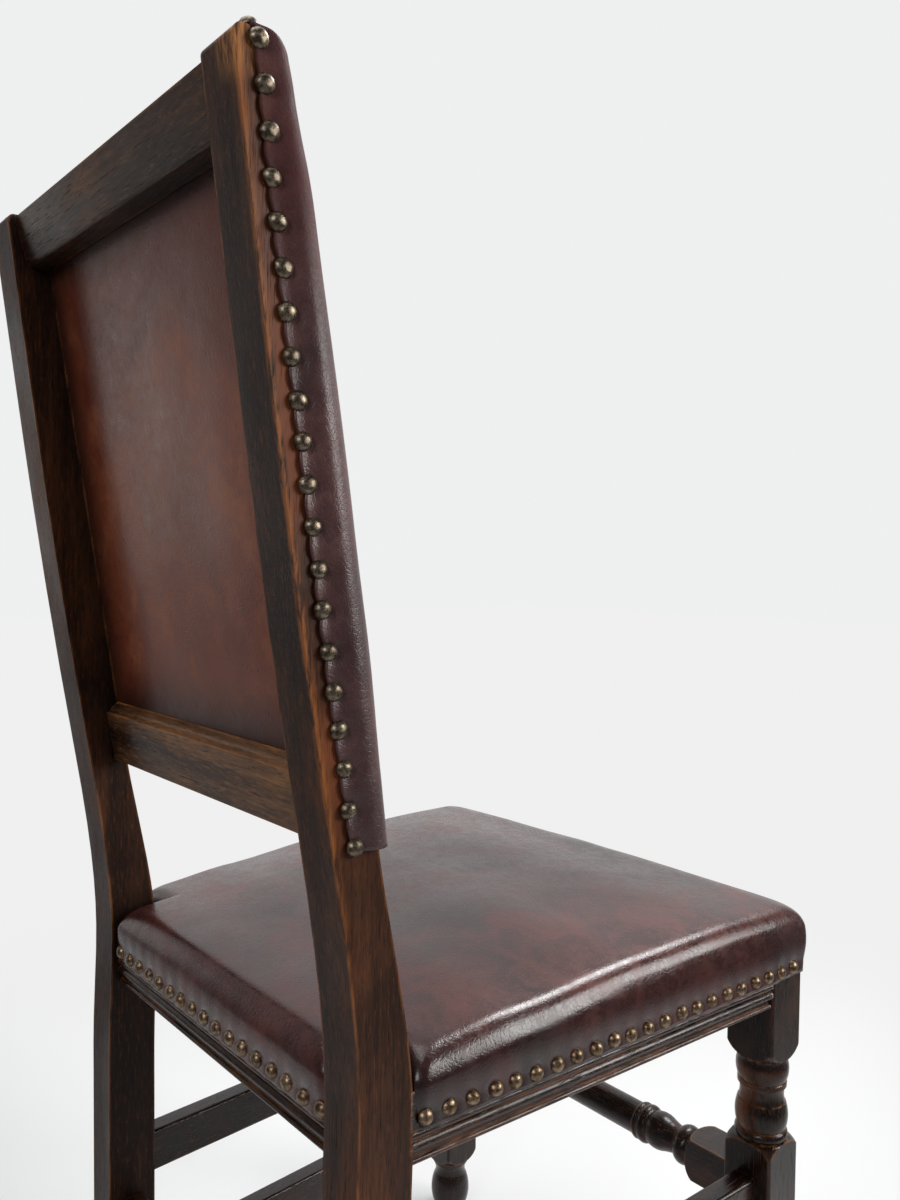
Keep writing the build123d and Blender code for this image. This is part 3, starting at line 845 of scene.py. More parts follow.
@dataclass(frozen=True)
class FloorFinish:
    """Pale floor that keeps the chair's soft shadow and fades into the pale room further out."""

    room: Room
    name: str = "pale_floor"
    tone: Colour = shade(232, 233, 233)
    roughness: float = 0.6
    fade: Span = (0.45, 1.5)
    fade_start: float = 0.25

    def material(self) -> Material:
        """Build the material.

        Returns:
            The material.
        """
        b = Bench(self.name)
        b.finish(self.tone, self.roughness)
        away = b.node("ShaderNodeVectorMath", operation="LENGTH")
        b.join(b.place, away.inputs[0])
        unit = b.node("ShaderNodeVectorMath", operation="NORMALIZE")
        b.join(b.place, unit.inputs[0])
        toward = b.node("ShaderNodeVectorMath", operation="DOT_PRODUCT")
        b.join(unit.outputs[0], toward.inputs[0])
        toward.inputs[1].default_value = self.room.pale_way
        room = self.room
        glow = b.node("ShaderNodeEmission")
        tone = b.ramp(toward.outputs["Value"], room.dark_from, room.light_from, room.dark, room.light)
        b.join(tone, glow.inputs["Strength"])
        blend = b.node("ShaderNodeMixShader")
        b.join(b.ramp(away.outputs["Value"], *self.fade, self.fade_start, 1.0), blend.inputs[0])
        b.join(b.surface.outputs[0], blend.inputs[1])
        b.join(glow.outputs[0], blend.inputs[2])
        b.join(blend.outputs[0], b.out.inputs["Surface"])
        return b.material


def piece_from(name: str, points: list[Point], faces: list[Face], finish: Material) -> Piece:
    """Make a smoothly shaded piece from its points and faces.

    Args:
        name: The piece's name.
        points: Places in the row frame.
        faces: Corners of each face.
        finish: Its material.

    Returns:
        The piece, riding on the chair.
    """
    mesh = bpy.data.meshes.new(name)
    mesh.from_pydata(points, [], faces)
    shaped = bmesh.new()
    shaped.from_mesh(mesh)
    bmesh.ops.remove_doubles(shaped, verts=shaped.verts, dist=0.000002)
    shaped.to_mesh(mesh)
    shaped.free()
    mesh.update()
    mesh.polygons.foreach_set("use_smooth", [True] * len(mesh.polygons))
    mesh.materials.append(finish)
    made = bpy.data.objects.new(name, mesh)
    bpy.context.scene.collection.objects.link(made)
    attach(made, "root")
    return made


def thicken(piece: Piece, thickness: float, offset: float) -> None:
    """Give a skin its thickness.

    Args:
        piece: The skin.
        thickness: How thick it is.
        offset: -1 for all of it inside the skin's face, 0 for both sides alike, 1 for all outside.
    """
    skin = piece.modifiers.new("thickness", "SOLIDIFY")
    skin.thickness, skin.offset = thickness, offset


def net(rows: int, columns: int, closed: bool = False, start: int = 0) -> list[Face]:
    """Faces of a net of points laid out row by row.

    Args:
        rows: How many rows.
        columns: How many points a row has.
        closed: Whether the last column joins the first.
        start: The number of the first point.

    Returns:
        The faces.
    """
    faces = []
    for row in range(rows - 1):
        here, above = start + row * columns, start + (row + 1) * columns
        for column in range(columns if closed else columns - 1):
            after = (column + 1) % columns
            faces.append((here + column, here + after, above + after, above + column))
    return faces


def fan(first: int, count: int, tip: int) -> list[Face]:
    """Faces from a closed row of points to one tip.

    Args:
        first: The number of the row's first point.
        count: How many points the row has.
        tip: The tip's number.

    Returns:
        The faces.
    """
    return [(first + k, first + (k + 1) % count, tip) for k in range(count)]


def crossed(first: Vector, second: Vector) -> float:
    """How far one flat direction turns left of another, as the area that they span."""
    return first.x * second.y - first.y * second.x


def turned(arm: Vector, angle: float) -> Vector:
    """A flat arm turned to the left.

    Args:
        arm: The arm.
        angle: In radians.

    Returns:
        The turned arm.
    """
    cosine, sine = math.cos(angle), math.sin(angle)
    return Vector((arm.x * cosine - arm.y * sine, arm.x * sine + arm.y * cosine))


class RoundedPlan:
    """A closed plan of straight runs joined by arcs, that can be drawn in."""

    arc_steps = 8
    fewest = 3

    def __init__(self, corners: list[Point], step: float) -> None:
        """Keep the corners and settle how many points each run has.

        Args:
            corners: Anticlockwise, each with its x, y and radius.
            step: The distance between points on the runs.
        """
        self.corners = corners
        self.counts = []
        for (x, y, _), after in zip(corners, corners[1:] + corners[:1]):
            run = math.hypot(after[0] - x, after[1] - y)
            self.counts.append(max(self.fewest, round(run / step)))

    def ring(self, inset: float, loosen: float = 0.0) -> list[tuple[Vector, Vector]]:
        """Points and outward directions round the plan.

        Args:
            inset: How far the runs are drawn in.
            loosen: What is added to the radius of each outer corner.

        Returns:
            Pairs of place and outward direction, the same number for every inset.
        """
        total = len(self.corners)
        marks = [Vector((x, y)) for x, y, _ in self.corners]
        ways = [(marks[(i + 1) % total] - marks[i]).normalized() for i in range(total)]
        turns = [math.atan2(crossed(ways[i - 1], ways[i]), ways[i - 1].dot(ways[i])) for i in range(total)]
        radii = [c[2] + (loosen if turn > 0 else 0) for c, turn in zip(self.corners, turns)]
        cuts = [radius * math.tan(abs(turn) / 2) for radius, turn in zip(radii, turns)]
        moved = []
        for i, mark in enumerate(marks):
            before, after = ways[i - 1], ways[i]
            start = mark + Vector((-before.y, before.x)) * inset
            end = mark + Vector((-after.y, after.x)) * inset
            moved.append(start + before * (crossed(end - start, after) / crossed(before, after)))
        points = []
        for i in range(total):
            before, after, following = ways[i - 1], ways[i], (i + 1) % total
            side = 1 if turns[i] > 0 else -1
            enter = moved[i] - before * cuts[i]
            centre = enter + Vector((-before.y, before.x)) * radii[i] * side
            for k in range(self.arc_steps + 1):
                arm = turned(enter - centre, turns[i] * k / self.arc_steps)
                points.append((centre + arm, arm.normalized() * side))
            leave = moved[i] + after * cuts[i]
            arrive = moved[following] - after * cuts[following]
            outward = Vector((after.y, -after.x))
            points += [(leave.lerp(arrive, k / self.counts[i]), outward) for k in range(1, self.counts[i])]
        return points


@dataclass
class NailRow:
    """A row of domed brass nails seated on a leather."""

    name: str
    seats: list[Seat]
    leather: BVHTree
    finish: Material
    seed: int
    radius: float = 0.0055
    height: float = 0.0044
    around: int = 20
    lean: float = 0.07
    settle: float = 0.4
    lift: float = 0.0001
    sizes: Span = (0.95, 1.05)
    rises: Span = (0.9, 1.08)
    ovals: Span = (-0.03, 0.03)
    dome: Stations = (
        (1.0, -0.12), (1.03, 0.02), (1.0, 0.14), (0.94, 0.34),
        (0.82, 0.58), (0.66, 0.78), (0.46, 0.92), (0.24, 0.985),
    )

    def head(self, hit: Vector, way: Vector, normal: Vector, chance: random.Random) -> list[Point]:
        """Turn one head, slightly uneven.

        Args:
            hit: Where its line meets the leather.
            way: The line's direction, into the leather.
            normal: The leather's outward direction there.
            chance: The row's own random numbers.

        Returns:
            Its points, ring by ring, and its tip last.
        """
        settled = (normal * self.settle - way * (1 - self.settle)).normalized()
        tilt = Vector((chance.uniform(-1, 1), chance.uniform(-1, 1), chance.uniform(-1, 1))) * self.lean
        up = (settled + tilt).normalized()
        side = up.orthogonal().normalized()
        other = up.cross(side)
        radius = self.radius * chance.uniform(*self.sizes)
        tall = self.height * chance.uniform(*self.rises)
        oval = chance.uniform(*self.ovals)
        points = []
        for out, rise in self.dome:
            for k in range(self.around):
                angle = 2 * math.pi * k / self.around
                across = side * math.cos(angle) * (1 + oval) + other * math.sin(angle) * (1 - oval)
                points.append(tuple(hit + across * radius * out + up * (rise * tall + self.lift)))
        return points + [tuple(hit + up * tall)]

    def build(self) -> Piece:
        """Seat each head where its line meets the leather.

        Returns:
            The row as one piece that stands for its CAD node.
        """
        chance = random.Random(self.seed)
        points: list[Point] = []
        faces: list[Face] = []
        rings = len(self.dome)
        for origin, way in self.seats:
            way = Vector(way)
            hit, normal, _, _ = self.leather.ray_cast(Vector(origin), way)
            if hit is None:
                continue
            if normal.dot(way) > 0:
                normal = -normal
            start = len(points)
            points += self.head(hit, way, normal, chance)
            faces += net(rings, self.around, closed=True, start=start)
            faces += fan(start + (rings - 1) * self.around, self.around, len(points) - 1)
        made = piece_from(f"{self.name}_heads", points, faces, self.finish)
        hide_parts(self.name)
        return made


@dataclass
class SeatCushion:
    """The stuffed seat under one hide, nailed along its edges and cut round the rear legs."""

    finish: Material
    brass: Material
    step: float = 0.0021
    thickness: float = 0.0018
    skirt_low: float = 0.415
    skirt_wave: float = 0.0007
    bend: float = 0.015
    loosen_share: float = 0.55
    leg_gap: float = 0.004
    rear_face: float = -0.008
    crown_rear: float = -0.006
    centre_depth: float = -0.235
    corner_radius: float = 0.007
    notch_radius: float = 0.002
    splay_radius: float = 0.08
    front_radius: float = 0.006
    skirt_rows: int = 15
    roll_rows: int = 11
    crown_rows: int = 34
    nail_height: float = 0.4225
    side_nails: int = 22
    front_nails: int = 25
    rear_nails: int = 17
    nail_end: float = 0.006
    nail_front_end: float = 0.0175
    nail_front_set: float = 0.012
    nail_reach: float = 0.0055
    nail_rise: float = 0.006
    nail_gap: float = 0.006
    puff: float = 0.0022
    puff_start: float = 0.002
    puff_height: float = 0.034
    dimple: float = 0.0011
    ridge: float = 0.0006
    ridge_height: float = 0.012
    wander: float = 0.0004
    wander_pace: float = 26.0
    lump: float = 0.0016
    lump_pace: float = 9.0
    skirt_pace: float = 45.0
    hide_pace: float = 34.0
    rise_pace: float = 30.0
    crown_power: float = 3.2
    crown_fall: float = 0.5
    fall_power: int = 5
    edge_power: int = 8
    edge_heights: Stations = (
        (-0.02, 0.468), (0.06, 0.471), (0.22, 0.472), (0.45, 0.470),
        (0.72, 0.464), (0.9, 0.459), (1.02, 0.457),
    )
    crowns: Stations = ((0.0, 0.007), (0.3, 0.010), (0.6, 0.012), (0.85, 0.010), (1.0, 0.008))
    surface: BVHTree | None = field(default=None, init=False)

    def plan(self) -> RoundedPlan:
        """The plan of the hide's outer face.

        Returns:
            The plan, cut round the rear legs.
        """
        p = PLACES
        rear_x = p.rear_inner - self.leg_gap
        notch = p.rear_leg_front - self.leg_gap
        side = p.side(notch) + p.leather
        wide = p.front_half + p.leather
        left = [
            (-rear_x, self.rear_face + p.leather, self.corner_radius),
            (-rear_x, notch, self.notch_radius),
            (-side, notch, self.corner_radius),
            (-wide, p.leg_rear_face, self.splay_radius),
            (-wide, -p.front_reach - p.leather, self.front_radius),
        ]
        return RoundedPlan(left + [(-x, y, r) for x, y, r in reversed(left)], self.step)

    def top(self, x: float, depth: float) -> float:
        """Height of the cushion's top at a place.

        Args:
            x: Across the chair.
            depth: Fore and aft, measured as the source does.

        Returns:
            The height above the floor.
        """
        p = PLACES
        share = (depth + p.front_reach) / (p.front_reach + self.crown_rear)
        across = min(1.0, abs(x) / p.side(depth))
        along = min(1.0, abs(share * 2 - 1))
        lump = uneven(x * self.lump_pace, depth * self.lump_pace, 0.3) * self.lump
        lump += uneven(x * self.wander_pace, depth * self.wander_pace, 1.3) * self.wander
        crown = between(share, self.crowns) * (1 - across**self.crown_power)
        crown *= 1 - self.crown_fall * along**self.fall_power
        return between(share, self.edge_heights) + crown + lump * (1 - across**self.edge_power)

    def pull(self, place: Vector, height: float, nails: list[Vector]) -> float:
        """How far the hide stands out from its plan, from its stuffing and the nails' pull.

        Args:
            place: On the plan.
            height: Above the floor.
            nails: The nails' places on the plan.

        Returns:
            The distance, outwards.
        """
        rise = height - self.nail_height
        nearest = min((place - nail).length for nail in nails)
        puff = self.puff * math.sin(math.pi * clamped((rise - self.puff_start) / self.puff_height))
        dimple = self.dimple * math.exp(-((nearest / self.nail_reach) ** 2) - (rise / self.nail_rise) ** 2)
        ridge = self.ridge * math.exp(-abs(rise) / self.ridge_height)
        ridge *= 1 - math.exp(-((nearest / self.nail_gap) ** 2))
        wander = uneven(place.x * self.hide_pace, place.y * self.hide_pace, height * self.rise_pace)
        return puff - dimple + ridge + wander * self.wander

    def side_depths(self) -> list[float]:
        """Depths of a side's nails, from the rear leg forward.

        Returns:
            The depths.
        """
        first = PLACES.rear_leg_front - self.leg_gap - self.nail_end
        return spaced(first, -PLACES.front_reach + self.nail_front_end, self.side_nails)

    def front_places(self) -> list[float]:
        """Places of the front's nails across the chair."""
        run = PLACES.front_half - self.nail_front_set
        return spaced(-run, run, self.front_nails)

    def rear_places(self) -> list[float]:
        """Places of the rear's nails across the chair."""
        run = PLACES.rear_inner - self.leg_gap - self.nail_end
        return spaced(-run, run, self.rear_nails)

    def nail_places(self) -> list[Vector]:
        """All the nails' places on the plan.

        Returns:
            The places.
        """
        p = PLACES
        return (
            [Vector((s * (p.side(y) + p.leather), y)) for y in self.side_depths() for s in (-1, 1)]
            + [Vector((x, -p.front_reach - p.leather)) for x in self.front_places()]
            + [Vector((x, self.rear_face + p.leather)) for x in self.rear_places()]
        )

    def skirt(self, plan: RoundedPlan, nails: list[Vector]) -> list[list[Point]]:
        """The upright skirt that the nails hold.

        Args:
            plan: The cushion's plan.
            nails: The nails' places on it.

        Returns:
            Its rows of points, from the lower edge up.
        """
        outer = plan.ring(0.0)
        rows = []
        for row in range(self.skirt_rows):
            ring = []
            for place, out in outer:
                high = self.top(place.x, place.y) - self.bend
                wave = uneven(place.x * self.skirt_pace, place.y * self.skirt_pace, 4.0)
                low = self.skirt_low + self.skirt_wave * wave
                height = low + (high - low) * row / self.skirt_rows
                moved = place + out * self.pull(place, height, nails)
                ring.append((moved.x, moved.y + PLACES.shift, height))
            rows.append(ring)
        return rows

    def roll(self, plan: RoundedPlan, nails: list[Vector]) -> list[list[Point]]:
        """The rolled edge over the skirt.

        Args:
            plan: The cushion's plan.
            nails: The nails' places on it.

        Returns:
            Its rows of points, from the skirt inwards.
        """
        rows = []
        for row in range(self.roll_rows + 1):
            angle = math.pi / 2 * row / self.roll_rows
            inset = self.bend * (1 - math.cos(angle))
            fade = 1 - math.sin(angle)
            ring = []
            for place, out in plan.ring(inset, inset * self.loosen_share):
                height = self.top(place.x, place.y) - self.bend * fade
                moved = place + out * self.pull(place, height, nails) * fade
                ring.append((moved.x, moved.y + PLACES.shift, height))
            rows.append(ring)
        return rows

    def crown(self, plan: RoundedPlan, centre: Vector) -> list[list[Point]]:
        """The crown inside the rolled edge.

        Args:
            plan: The cushion's plan.
            centre: The place that its rows close in on.

        Returns:
            Its rows of points, from the roll inwards.
        """
        inner = plan.ring(self.bend, self.bend * self.loosen_share)
        rows = []
        for row in range(1, self.crown_rows):
            drawn = [place.lerp(centre, row / self.crown_rows) for place, _ in inner]
            rows.append([(at.x, at.y + PLACES.shift, self.top(at.x, at.y)) for at in drawn])
        return rows

    def build(self) -> Piece:
        """Draw the hide from its nailed skirt over the roll to the crown.

        Returns:
            The cushion.
        """
        plan, nails = self.plan(), self.nail_places()
        centre = Vector((0.0, self.centre_depth))
        rows = self.skirt(plan, nails) + self.roll(plan, nails) + self.crown(plan, centre)
        count = len(rows[0])
        points = [point for ring in rows for point in ring]
        points.append((centre.x, centre.y + PLACES.shift, self.top(centre.x, centre.y)))
        faces = net(len(rows), count, closed=True)
        faces += fan((len(rows) - 1) * count, count, len(points) - 1)
        made = piece_from("seat_cushion", points, faces, self.finish)
        self.surface = BVHTree.FromPolygons([Vector(point) for point in points], faces)
        thicken(made, self.thickness, -1.0)
        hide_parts("seat_leather", "seat_padding")
        return made

    def nails(self) -> list[Piece]:
        """Seat the four rows of nails.

        Returns:
            The rows.
        """
        hand = Hand(seed=5, reach=0.0009)
        far, ahead, shift = 0.3, 0.6, PLACES.shift
        rows = []
        for seed, (name, side) in enumerate((("seat_studs_right", -1), ("seat_studs_left", 1)), start=11):
            seats = [
                ((side * far, y + hand.slip() + shift, self.nail_height + hand.slip()), (-side, 0, 0))
                for y in self.side_depths()
            ]
            rows.append(NailRow(name, seats, self.surface, self.brass, seed).build())
        ends = (("seat_studs_front", -1, self.front_places()), ("seat_studs_rear", 1, self.rear_places()))
        for seed, (name, side, places) in enumerate(ends, start=21):
            seats = [
                ((x + hand.slip(), side * ahead, self.nail_height + hand.slip()), (0, -side, 0))
                for x in places
            ]
            rows.append(NailRow(name, seats, self.surface, self.brass, seed).build())
        return rows


@dataclass(frozen=True)
class Level:
    """One level of the back's hide, and how far it has rolled over the rounded top."""

    height: float
    turn: float = 0.0

    @property
    def angle(self) -> float:
        """The roll as an angle, from upright."""
        return self.turn * math.pi / 2


@dataclass(frozen=True)
class SkinPoint:
    """A point of the back's hide on its level."""

    x: float
    depth: float
    out_x: float
    out_depth: float
    reach: float

    def mirrored(self) -> "SkinPoint":
        """The same point on the other side."""
        return SkinPoint(-self.x, self.depth, -self.out_x, self.out_depth, self.reach)

    def moved(self, out: float, height: float) -> Point:
        """The point in the row frame.

        Args:
            out: How far it is moved outwards.
            height: Above the floor.

        Returns:
            The place.
        """
        return (self.x + self.out_x * out, self.depth + self.out_depth * out + PLACES.shift, height)


@dataclass
class BackCushion:
    """The stuffed back under one hide, drawn round the stiles and over the top and nailed there."""

    finish: Material
    brass: Material
    low: float = 0.594
    edge: float = 0.011
    thickness: float = 0.0018
    side_puff: float = 0.012
    side_bulge: float = 0.005
    bulge_start: float = 0.003
    roll_start: float = 0.003
    crown: float = 0.014
    crown_power: float = 2.2
    ragged: float = 0.00099
    ragged_wave: float = 0.00081
    ragged_pace: float = 70.0
    puffs: Stations = (
        (0.0, 0.6), (0.06, 0.66), (0.28, 0.95), (0.52, 1.0), (0.78, 0.76), (0.93, 0.55), (1.0, 0.45),
    )
    crowns: Stations = (
        (0.0, 0.2), (0.06, 0.6), (0.28, 0.95), (0.52, 1.0), (0.78, 0.95), (0.93, 0.75), (1.0, 0.3),
    )
    bulges: Stations = (
        (0.0, 0.7), (0.1, 0.85), (0.3, 1.0), (0.6, 1.0), (0.82, 0.85), (0.94, 0.25), (1.0, 0.0),
    )
    top_round: float = 0.0025
    top_round_from: float = 0.55
    top_bend: float = 0.010
    top_edge_set: float = 0.005
    top_corner: float = 0.006
    top_corner_run: float = 0.022
    top_lift: float = 0.0006
    lip_inset: float = 0.0035
    lip_rise: float = 0.0018
    lip_reach: float = 0.02
    roll_reach: float = 0.018
    levels: int = 192
    top_levels: int = 12
    side_columns: int = 13
    roll_columns: int = 12
    front_columns: int = 64
    side_nails: int = 20
    end_nails: int = 18
    nail_set: float = 0.0135
    nail_top_end: float = 0.0055
    nail_bottom_end: float = 0.003
    top_nail_end: float = 0.006
    top_nail_set: float = 0.021
    top_corner_nail_set: float = 0.0125
    bottom_inset: float = 0.016
    bottom_nail_rise: float = 0.008
    nail_reach: float = 0.0058
    dimple: float = 0.0012
    fold: float = 0.0004
    fold_place: float = 0.004
    fold_width: float = 0.013
    fold_gap: float = 0.0075
    fold_least: float = 0.7
    fold_spread: float = 0.6
    fold_pace: float = 3.7
    fold_side_pace: float = 9.0
    lie: float = 0.0004
    side_wander: float = 0.0007
    side_paces: Point = (3.0, 14.0, 20.0)
    front_wander: float = 0.0012
    front_pace: float = 11.0
    surface: BVHTree | None = field(default=None, init=False)

    def nail_heights(self) -> list[float]:
        """Heights of the side nails, from the top down."""
        return spaced(PLACES.top - self.nail_top_end, self.low + self.nail_bottom_end, self.side_nails)

    def raw_edge(self, height: float) -> float:
        """Depth of the hide's raw edge on the stile, drawn in between the nails.

        Args:
            height: Above the floor.

        Returns:
            The depth.
        """
        nails = self.nail_heights()
        phase = 2 * math.pi * (height - nails[0]) / (nails[0] - nails[1])
        drawn = self.ragged * math.cos(phase) + self.ragged_wave * uneven(height * self.ragged_pace, 2.0, 0.0)
        return PLACES.rake(min(height, PLACES.top)) - self.edge - drawn

    def section(self, level: Level) -> list[SkinPoint]:
        """The hide's outer face round one level.

        Args:
            level: The level.

        Returns:
            Its points from one raw edge to the other. Their reach is the distance forward of the raw
            edge, or negative on the front.
        """
        p = PLACES
        share = (level.height - self.low) / (p.top - self.low)
        upright = math.cos(level.angle)
        forward = between(share, self.puffs) * self.side_puff
        crown = between(share, self.crowns) * self.crown
        bulge = between(share, self.bulges) * self.side_bulge
        base = p.stile_front(min(level.height, p.top - self.top_bend)) + self.roll_start
        half = p.rear_half + p.leather
        if level.turn > 0:
            base += self.top_bend * (1 - upright)
            forward = p.leather + (forward - p.leather) * upright
            bulge *= upright
            crown *= upright
            late = clamped((level.turn - self.top_round_from) / (1 - self.top_round_from))
            half -= self.top_round * late**2
        radius = forward + self.roll_start
        side = self.side_points(half, bulge, base, self.raw_edge(level.height), radius)
        front = self.front_points(half + bulge - radius, base - radius, crown)
        return side + front + [point.mirrored() for point in reversed(side)]

    def side_points(
        self, half: float, bulge: float, base: float, rear: float, radius: float
    ) -> list[SkinPoint]:
        """The hide over the stile's side and round its front corner.

        Args:
            half: Half the width over the stiles.
            bulge: How far the side swells out before the corner.
            base: Depth where the corner starts.
            rear: Depth of the raw edge.
            radius: The corner's radius.

        Returns:
            The points, from the raw edge forward.
        """
        run = rear - base
        points = []
        for k in range(self.side_columns + 1):
            reach = run * k / self.side_columns
            swell = clamped((reach - self.bulge_start) / (run - self.bulge_start))
            out = half + bulge * math.sin(swell * math.pi / 2) ** 2
            points.append(SkinPoint(out, rear - reach, 1.0, 0.0, reach))
        for k in range(1, self.roll_columns + 1):
            angle = math.pi / 2 * k / self.roll_columns
            out = half + bulge - radius * (1 - math.cos(angle))
            depth = base - radius * math.sin(angle)
            points.append(SkinPoint(out, depth, math.cos(angle), -math.sin(angle), run + radius * angle))
        return points

    def front_points(self, half: float, face: float, crown: float) -> list[SkinPoint]:
        """The crowned front between the corners.

        Args:
            half: Half its width.
            face: Its depth at the corners.
            crown: How far it stands forward in the middle.

        Returns:
            The points, across the chair.
        """
        points = []
        for k in range(1, self.front_columns):
            x = half * (1 - 2 * k / self.front_columns)
            across = abs(x) / half
            depth = face - crown * (1 - across**self.crown_power)
            slope = crown * self.crown_power * across ** (self.crown_power - 1) / half * math.copysign(1, x)
            scale = math.hypot(slope, 1)
            points.append(SkinPoint(x, depth, slope / scale, -1 / scale, -1.0))
        return points

    def pull(self, height: float, reach: float, x: float) -> float:
        """How far the nails and the stuffing move the hide.

        Args:
            height: Above the floor.
            reach: Distance forward of the raw edge, negative on the front.
            x: Across the chair.

        Returns:
            The distance, outwards.
        """
        if reach < 0:
            return uneven(x * self.front_pace, height * self.front_pace, 3.0) * self.front_wander
        nails = self.nail_heights()
        pitch = nails[0] - nails[1]
        number = (nails[0] - height) / pitch
        nearest = abs(number - min(max(round(number), 0), self.side_nails - 1)) * pitch
        along = reach - (self.nail_set - self.edge)
        dimple = self.dimple * math.exp(-((math.hypot(nearest, along) / self.nail_reach) ** 2))
        drift = uneven(round(number - 0.5) * self.fold_pace, x * self.fold_side_pace, 0.0)
        strength = self.fold_least + self.fold_spread * drift
        ridge = math.exp(-(((along - self.fold_place) / self.fold_width) ** 2))
        fold = self.fold * strength * ridge * (1 - math.exp(-((nearest / self.fold_gap) ** 2)))
        across, upright, forward = self.side_paces
        wander = uneven(x * across, height * upright, reach * forward) * self.side_wander
        return fold - dimple + wander + self.lie

    def rows(self) -> list[list[Point]]:
        """The hide's points from its turned-in lower edge up to the roll at the top.

        Returns:
            The rows.
        """
        # The lower edge is turned in under the stuffing, but not where the side is nailed.
        lip = []
        for point in self.section(Level(self.low)):
            loose = point.reach < 0 or point.reach > self.lip_reach
            inset, rise = (self.lip_inset, self.lip_rise) if loose else (0.0, 0.0)
            lip.append(point.moved(-inset, self.low + rise))
        start = PLACES.top - self.top_bend
        levels = [Level(height) for height in spaced(self.low, start, self.levels)]
        for k in range(1, self.top_levels + 1):
            turn = k / self.top_levels
            rise = (self.top_bend + PLACES.leather) * math.sin(turn * math.pi / 2)
            levels.append(Level(start + rise, turn))
        rows = [lip]
        for level in levels:
            ring = []
            for point in self.section(level):
                out = self.pull(level.height, point.reach, point.x)
                if point.reach < 0 or point.reach > self.roll_reach:
                    out *= math.cos(level.angle)
                ring.append(point.moved(out, level.height))
            rows.append(ring)
        return rows

    def flat_top(self, last: list[Point]) -> list[Point]:
        """The flat of the top, from the roll back to the raw edge behind.

        Args:
            last: The roll's last row.

        Returns:
            Its points, row by row.
        """
        points = []
        first = self.side_columns
        for j in range(first + 1):
            share = j / first
            depth = last[first - j][1]
            for x, _, z in last[first : len(last) - first]:
                inner = clamped((PLACES.rear_half - abs(x) - self.top_corner) / self.top_corner_run)
                drawn = self.top_edge_set * eased(inner) * share
                points.append((x, depth - drawn, z + self.top_lift * math.sin(math.pi * share)))
        return points

    def build(self) -> Piece:
        """Draw the hide from its lower edge up and over the top.

        Returns:
            The cushion.
        """
        rows = self.rows()
        count = len(rows[0])
        points = [point for ring in rows for point in ring]
        faces = net(len(rows), count)
        faces += net(self.side_columns + 1, count - 2 * self.side_columns, start=len(points))
        points += self.flat_top(rows[-1])
        made = piece_from("back_cushion", points, faces, self.finish)
        self.surface = BVHTree.FromPolygons([Vector(point) for point in points], faces)
        thicken(made, self.thickness, 1.0)
        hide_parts("back_leather_front", "back_padding")
        return made

    def nails(self) -> list[Piece]:
        """Seat the four rows of nails.

        Returns:
            The rows.
        """
        p = PLACES
        hand = Hand(seed=9, reach=0.0008)
        far, above, ahead, upright_share = 0.3, 1.2, 0.5, 0.8
        rows = []
        for seed, (name, side) in enumerate((("back_studs_right", -1), ("back_studs_left", 1)), start=31):
            seats = []
            for height in self.nail_heights():
                depth = p.rake(height) - self.nail_set + hand.slip() + p.shift
                seats.append(((side * far, depth, height + hand.slip() * upright_share), (-side, 0, 0)))
            rows.append(NailRow(name, seats, self.surface, self.brass, seed).build())
        end = p.rear_half - self.top_nail_end
        sets = [self.top_nail_set] * self.end_nails
        sets[0] = sets[-1] = self.top_corner_nail_set
        seats = [
            ((x + hand.slip(), p.rake(p.top) - nail_set + p.shift, above), (0, 0, -1))
            for x, nail_set in zip(spaced(-end, end, self.end_nails), sets)
        ]
        rows.append(NailRow("back_studs_top", seats, self.surface, self.brass, seed=33).build())
        end = p.rear_half - self.bottom_inset
        height = self.low + self.bottom_nail_rise
        seats = [
            ((x + hand.slip(), -ahead, height + hand.slip()), (0, 1, 0))
            for x in spaced(-end, end, self.end_nails)
        ]
        rows.append(NailRow("back_studs_bottom", seats, self.surface, self.brass, seed=34).build())
        return rows


@dataclass
class BackPanel:
    """The flat hide behind the back, nailed to the front of the stiles and seen between them."""

    finish: Material
    rows: int = 90
    columns: int = 84
    thickness: float = 0.0009
    set_back: float = 0.0001
    held: float = 0.01
    give: float = 0.0032
    give_power: int = 4
    wander: float = 0.0009
    wander_pace: float = 14.0
    bow_share: float = 1.012

    def build(self) -> Piece:
        """Stretch the panel over the opening.

        Returns:
            The panel.
        """
        p = PLACES
        first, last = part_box("back_leather_rear")
        half, low, high = last[0], first[2], last[2]
        middle, reach = (low + high) / 2, (high - low) / 2 - self.held
        points = []
        for z in spaced(low, high, self.rows):
            open_z = max(0.0, 1 - abs((z - middle) / reach) ** self.give_power)
            for x in spaced(-half, half, self.columns):
                loose = open_z * max(0.0, 1 - (abs(x) / p.rear_inner) ** self.give_power)
                wander = self.wander * uneven(x * self.wander_pace, z * self.wander_pace, 8.0)
                bulge = loose * (self.give + wander)
                points.append((x, p.stile_front(z) + p.shift - self.set_back + bulge, z))
        made = piece_from("back_panel", points, net(self.rows, self.columns), self.finish)
        thicken(made, self.thickness, 1.0)
        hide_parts("back_leather_rear")
        return made


